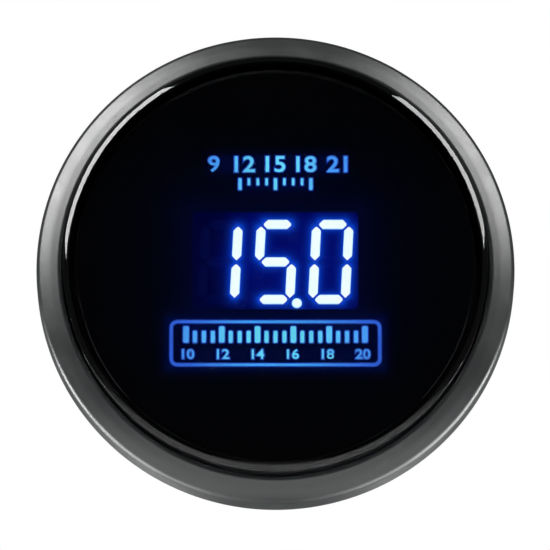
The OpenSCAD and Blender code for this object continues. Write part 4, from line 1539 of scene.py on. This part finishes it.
@dataclass
class Clamp:
    """Studs, nuts, U-shaped bracket, split washers and knurled thumb nuts."""

    stud_r: float = 2.0
    head_r: float = 3.5
    head_t: float = 1.4
    plain: float = 2.8
    pitch: float = 0.7
    thread_depth: float = 0.24
    thread_flat: float = 1.25
    end_gap: float = 0.1
    rows_per_turn: int = 8
    stud_steps: int = 40
    edge: float = 0.14
    small_edge: float = 0.1
    hub_r: float = 4.0
    hub_h: float = 3.5
    knurl_r: float = 6.0
    knurl_depth: float = 0.35
    knurl_flat: float = 1.2
    knurl_rim: float = 0.5
    knurl_chamfer: float = 0.2
    teeth: int = 30
    steps_per_tooth: int = 8
    bore_r: float = 2.03
    steel: Metal = Metal("zinc_plate", (0.66, 0.67, 0.7), (0.5, 0.5, 0.5), 0.3, Along.Y, 7000.0, 0.12)
    strap: Metal = Metal("brushed_strap", (0.64, 0.65, 0.67), (0.46, 0.46, 0.47), 0.34, Along.X, 9000.0, 0.25)
    brass: Metal = Metal("knurled_brass", (0.78, 0.6, 0.3), (0.52, 0.38, 0.18), 0.27, Along.ALL, 6000.0, 0.1)

    def build(self, effects: EffectLibrary) -> None:
        """Makes every piece of the clamp."""
        steel, strap, brass = (m.material(effects) for m in (self.steel, self.strap, self.brass))
        studs = join([self._stud(-1), self._stud(1)])
        make_piece(studs, "threaded_studs", Rides.GAUGE, steel, ["clamp_studs"], sharp=50.0)
        for node, name, body, slot, finish, width, angle in (
            ("stud_nuts", "hexagon_nuts", Rides.GAUGE, "zinc_steel", steel, self.small_edge, 25.0),
            ("clamp_bracket", "clamp_strap", Rides.CLAMP, "bracket_steel", strap, self.edge, 40.0),
            ("lock_washers", "split_washers", Rides.CLAMP, "zinc_steel", steel, self.small_edge, 50.0),
        ):
            make_piece(softened(node, width, angle), name, body, finish, [node])
        for side, body, word in ((-1, Rides.LEFT_NUT, "left"), (1, Rides.RIGHT_NUT, "right")):
            nut = self._thumb_nut(side)
            make_piece(nut, f"knurled_nut_{word}", body, brass, [f"thumb_nut_{word}"], sharp=50.0)

    def stud_x(self) -> float:
        """Distance of the studs from the gauge's axis, in metres."""
        low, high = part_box("thumb_nut_right")
        return (low.x + high.x) / 2

    def _stud(self, side: int) -> Mesh:
        """One stud with its round head and a cut thread that runs out in a chamfer."""
        head_front, stud_end = front_of("clamp_studs"), back_of("clamp_studs")
        head_back = head_front - self.head_t
        thread_start = head_back - self.plain
        row_step = self.pitch / self.rows_per_turn
        count = int((thread_start - stud_end) / row_step)
        rows = [Corner(self.stud_r, thread_start - i * row_step) for i in range(count)]
        stud = turned(
            [
                Corner(0.0, head_front),
                Corner(self.head_r, head_front, 0.25, 3),
                Corner(self.head_r, head_back),
                Corner(self.stud_r, head_back),
                *rows,
                Corner(self.stud_r - self.thread_depth - self.end_gap, stud_end),
                Corner(0.0, stud_end),
            ],
            self.stud_steps,
        )

        def threaded(turn: float, height: float) -> float:
            """Radius of the thread, which runs out in a chamfer at the stud's end."""
            wave = self.thread_flat * to_and_fro(height / self.pitch + turn)
            free = self.stud_r - self.thread_depth - self.end_gap + (height - stud_end)
            return min(self.stud_r - self.thread_depth * min(1.0, wave), max(free, 0.1))

        reshape(stud, self.stud_r - SLACK, threaded, stud_end, thread_start + SLACK)
        move(stud, (side * self.stud_x(), 0, 0))
        face_out(stud)
        return stud

    def _thumb_nut(self, side: int) -> Mesh:
        """One thumb nut: a plain hub, and a head with a straight knurl between two rims."""
        nut_front, end = front_of("thumb_nut_left"), back_of("thumb_nut_left")
        hub_back = nut_front - self.hub_h
        rim = self.knurl_r - self.knurl_depth
        top, bottom = hub_back - self.knurl_rim, end + self.knurl_rim
        nut = turned(
            [
                Corner(self.bore_r, nut_front, 0.15, 2),
                Corner(self.hub_r, nut_front, 0.25, 3),
                Corner(self.hub_r, hub_back, 0.2, 3),
                Corner(rim, hub_back, 0.15, 2),
                Corner(rim, top),
                Corner(self.knurl_r, top - self.knurl_chamfer),
                Corner(self.knurl_r, bottom + self.knurl_chamfer),
                Corner(rim, bottom),
                Corner(rim, end, 0.15, 2),
                Corner(self.bore_r, end, 0.25, 2),
            ],
            self.teeth * self.steps_per_tooth,
        )

        def knurled(turn: float, _: float) -> float:
            """Radius of the knurl."""
            wave = self.knurl_flat * to_and_fro(turn * self.teeth)
            return self.knurl_r - self.knurl_depth * min(1.0, wave)

        reshape(nut, self.knurl_r - SLACK, knurled)
        move(nut, (side * self.stud_x(), 0, 0))
        face_out(nut)
        return nut


# ---------------------------------------------------------------- studio


def place_aimed(thing: bpy.types.Object, place: Vector, turn: Quaternion) -> None:
    """Gives a camera or a lamp its place and its direction, and adds it to the scene."""
    thing.location = place
    thing.rotation_mode = "QUATERNION"
    thing.rotation_quaternion = turn
    link(thing)


@dataclass(frozen=True)
class Lamp:
    """A soft oblong lamp that looks at the gauge.

    Its place is given by its turn about the gauge's axis, from the right and towards the
    top, and by its angle to that axis. Its length runs round the axis.
    """

    name: str
    turn: float
    lean: float
    length: float
    width: float
    radiance: float
    distance: float = 0.7


@dataclass
class Studio:
    """Camera, soft lamps, pale floor and white surroundings."""

    tilt: float = 12.5
    distance: float = 1.5
    scale: float = 7.95
    aim_right: float = -0.063
    aim_up: float = 0.2
    sensor: float = 36.0
    floor_side: float = 0.15
    floor_middle: float = 0.02
    floor_near: float = 0.035
    floor_far: float = 0.095
    floor_patches: float = 40.0
    floor_colours: tuple[Colour, Colour] = ((0.8, 0.8, 0.8), (0.82, 0.82, 0.82))
    sky: Colour = (0.93, 0.98, 1.0)
    ambient: float = 0.3
    room: float = 0.09
    backdrop: float = 0.12
    lamps: tuple[Lamp, ...] = (
        Lamp("key_left", 137.0, 59.0, 0.52, 0.29, 14.5),
        Lamp("key_right", 42.5, 59.0, 0.44, 0.29, 12.0),
        Lamp("rim_left", 217.0, 99.0, 0.55, 0.2, 40.0),
        Lamp("rim_right", 322.0, 99.0, 0.55, 0.2, 40.0),
    )

    def build(self) -> None:
        """Makes the camera, the lamps, the floor and the world."""
        self._camera()
        for lamp in self.lamps:
            self._lamp(lamp)
        self._floor()
        self._world()
        bpy.context.scene.view_settings.view_transform = "Standard"

    def _camera(self) -> None:
        """Places the camera a little below the gauge's axis, as in the photograph."""
        tilt = math.radians(self.tilt)
        forward = Vector((0.0, math.cos(tilt), math.sin(tilt)))
        up = Vector((0.0, -math.sin(tilt), math.cos(tilt)))
        aim = Vector((self.aim_right * MM, 0.0, 0.0)) + up * (self.aim_up * MM)
        data = bpy.data.cameras.new("camera")
        data.sensor_width = self.sensor
        data.lens = self.scale * self.distance / MM / IMAGE_SIDE * self.sensor
        data.clip_start, data.clip_end = 0.01, 20.0
        camera = bpy.data.objects.new("camera", data)
        place_aimed(camera, aim - forward * self.distance, forward.to_track_quat("-Z", "Y"))
        bpy.context.scene.camera = camera

    def _lamp(self, lamp: Lamp) -> None:
        """Places one lamp."""
        turn, lean = math.radians(lamp.turn), math.radians(lamp.lean)
        aside = math.sin(lean)
        way = Vector((aside * math.cos(turn), -math.cos(lean), aside * math.sin(turn)))
        along = Vector((-math.sin(turn), 0.0, math.cos(turn)))
        data = bpy.data.lights.new(lamp.name, "AREA")
        data.shape = "RECTANGLE"
        data.size, data.size_y = lamp.length, lamp.width
        data.energy = lamp.radiance * math.pi * lamp.length * lamp.width
        light = bpy.data.objects.new(lamp.name, data)
        axes = Matrix((along, way.cross(along), way)).transposed()
        place_aimed(light, way * lamp.distance, axes.to_quaternion())

    def _floor(self) -> None:
        """Makes the floor under the bezel. Eyes and lamps below look through it."""
        bm = bmesh.new()
        bmesh.ops.create_grid(bm, x_segments=8, y_segments=8, size=self.floor_side)
        move(bm, (0, 0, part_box("bezel")[0].z))
        mesh = bpy.data.meshes.new("floor")
        bm.to_mesh(mesh)
        bm.free()
        material, graph, shader = new_material("pale_floor")
        patches = graph.noise(graph.place(), self.floor_patches)
        feeds = {"Base Color": graph.mix(patches, *self.floor_colours), "Roughness": 0.8}
        graph.feed_all(shader, feeds)
        clear = graph.add("ShaderNodeBsdfTransparent").outputs["BSDF"]
        back = graph.add("ShaderNodeNewGeometry").outputs["Backfacing"]
        shadow = graph.add("ShaderNodeLightPath").outputs["Is Shadow Ray"]
        from_middle = graph.vector("SUBTRACT", graph.place(), (0.0, self.floor_middle, 0.0))
        flat = graph.vector("MULTIPLY", from_middle, (1.0, 1.0, 0.0))
        away = graph.fade(graph.vector("LENGTH", flat), self.floor_near, self.floor_far)
        through = graph.math("MAXIMUM", graph.math("MAXIMUM", back, shadow), away)
        joined = graph.add("ShaderNodeMixShader", {0: through, 1: shader.outputs["BSDF"], 2: clear})
        output = next(n for n in material.node_tree.nodes if n.type == "OUTPUT_MATERIAL")
        graph.feed(output.inputs["Surface"], joined.outputs["Shader"])
        mesh.materials.append(material)
        floor = bpy.data.objects.new("floor", mesh)
        link(floor)

    def _world(self) -> None:
        """Makes surroundings that are white behind the gauge, dim in front and black round the camera."""
        world = bpy.data.worlds.new("surroundings")
        bpy.context.scene.world = world
        world.use_nodes = True
        graph = Graph(world.node_tree)
        rays = graph.add("ShaderNodeLightPath").outputs
        way = graph.add("ShaderNodeTexCoord").outputs["Generated"]
        tilt = math.radians(self.tilt)
        mirrored_eye = (0.0, -math.cos(tilt), math.sin(tilt))
        front = graph.fade(graph.vector("DOT_PRODUCT", way, mirrored_eye), 0.97, 0.88, 0.0, self.room)
        depth = graph.add("ShaderNodeSeparateXYZ", {0: way}).outputs["Y"]
        behind = graph.fade(depth, -0.05, 0.3, 0.0, self.backdrop)
        bounced = graph.math("MAXIMUM", rays["Is Glossy Ray"], rays["Is Transmission Ray"])
        dim = graph.plus(
            graph.times(bounced, graph.math("MAXIMUM", behind, front)),
            graph.times(graph.math("SUBTRACT", 1.0, bounced), self.ambient),
        )
        white = graph.add("ShaderNodeBackground", {"Color": rgba(WHITE), "Strength": 1.0})
        soft = graph.add("ShaderNodeBackground", {"Color": rgba(self.sky), "Strength": dim})
        feeds = {0: rays["Is Camera Ray"], 1: soft.outputs[0], 2: white.outputs[0]}
        joined = graph.add("ShaderNodeMixShader", feeds).outputs["Shader"]
        graph.add("ShaderNodeOutputWorld", {"Surface": joined})


# ---------------------------------------------------------------- the whole


def main() -> None:
    """Builds every sub-assembly in order, and the studio round it."""
    logging.basicConfig(level=logging.INFO, format="%(name)s: %(message)s")
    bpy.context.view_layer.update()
    layout = DigitLayout()
    effects = EffectLibrary(layout)
    for part in (Bezel(), LensCap(), Dial(), Display(layout), Inside(), Shell(), Clamp()):
        part.build(effects)
        LOG.info("%s done", type(part).__name__)
    Studio().build()


if __name__ == "__main__":
    main()
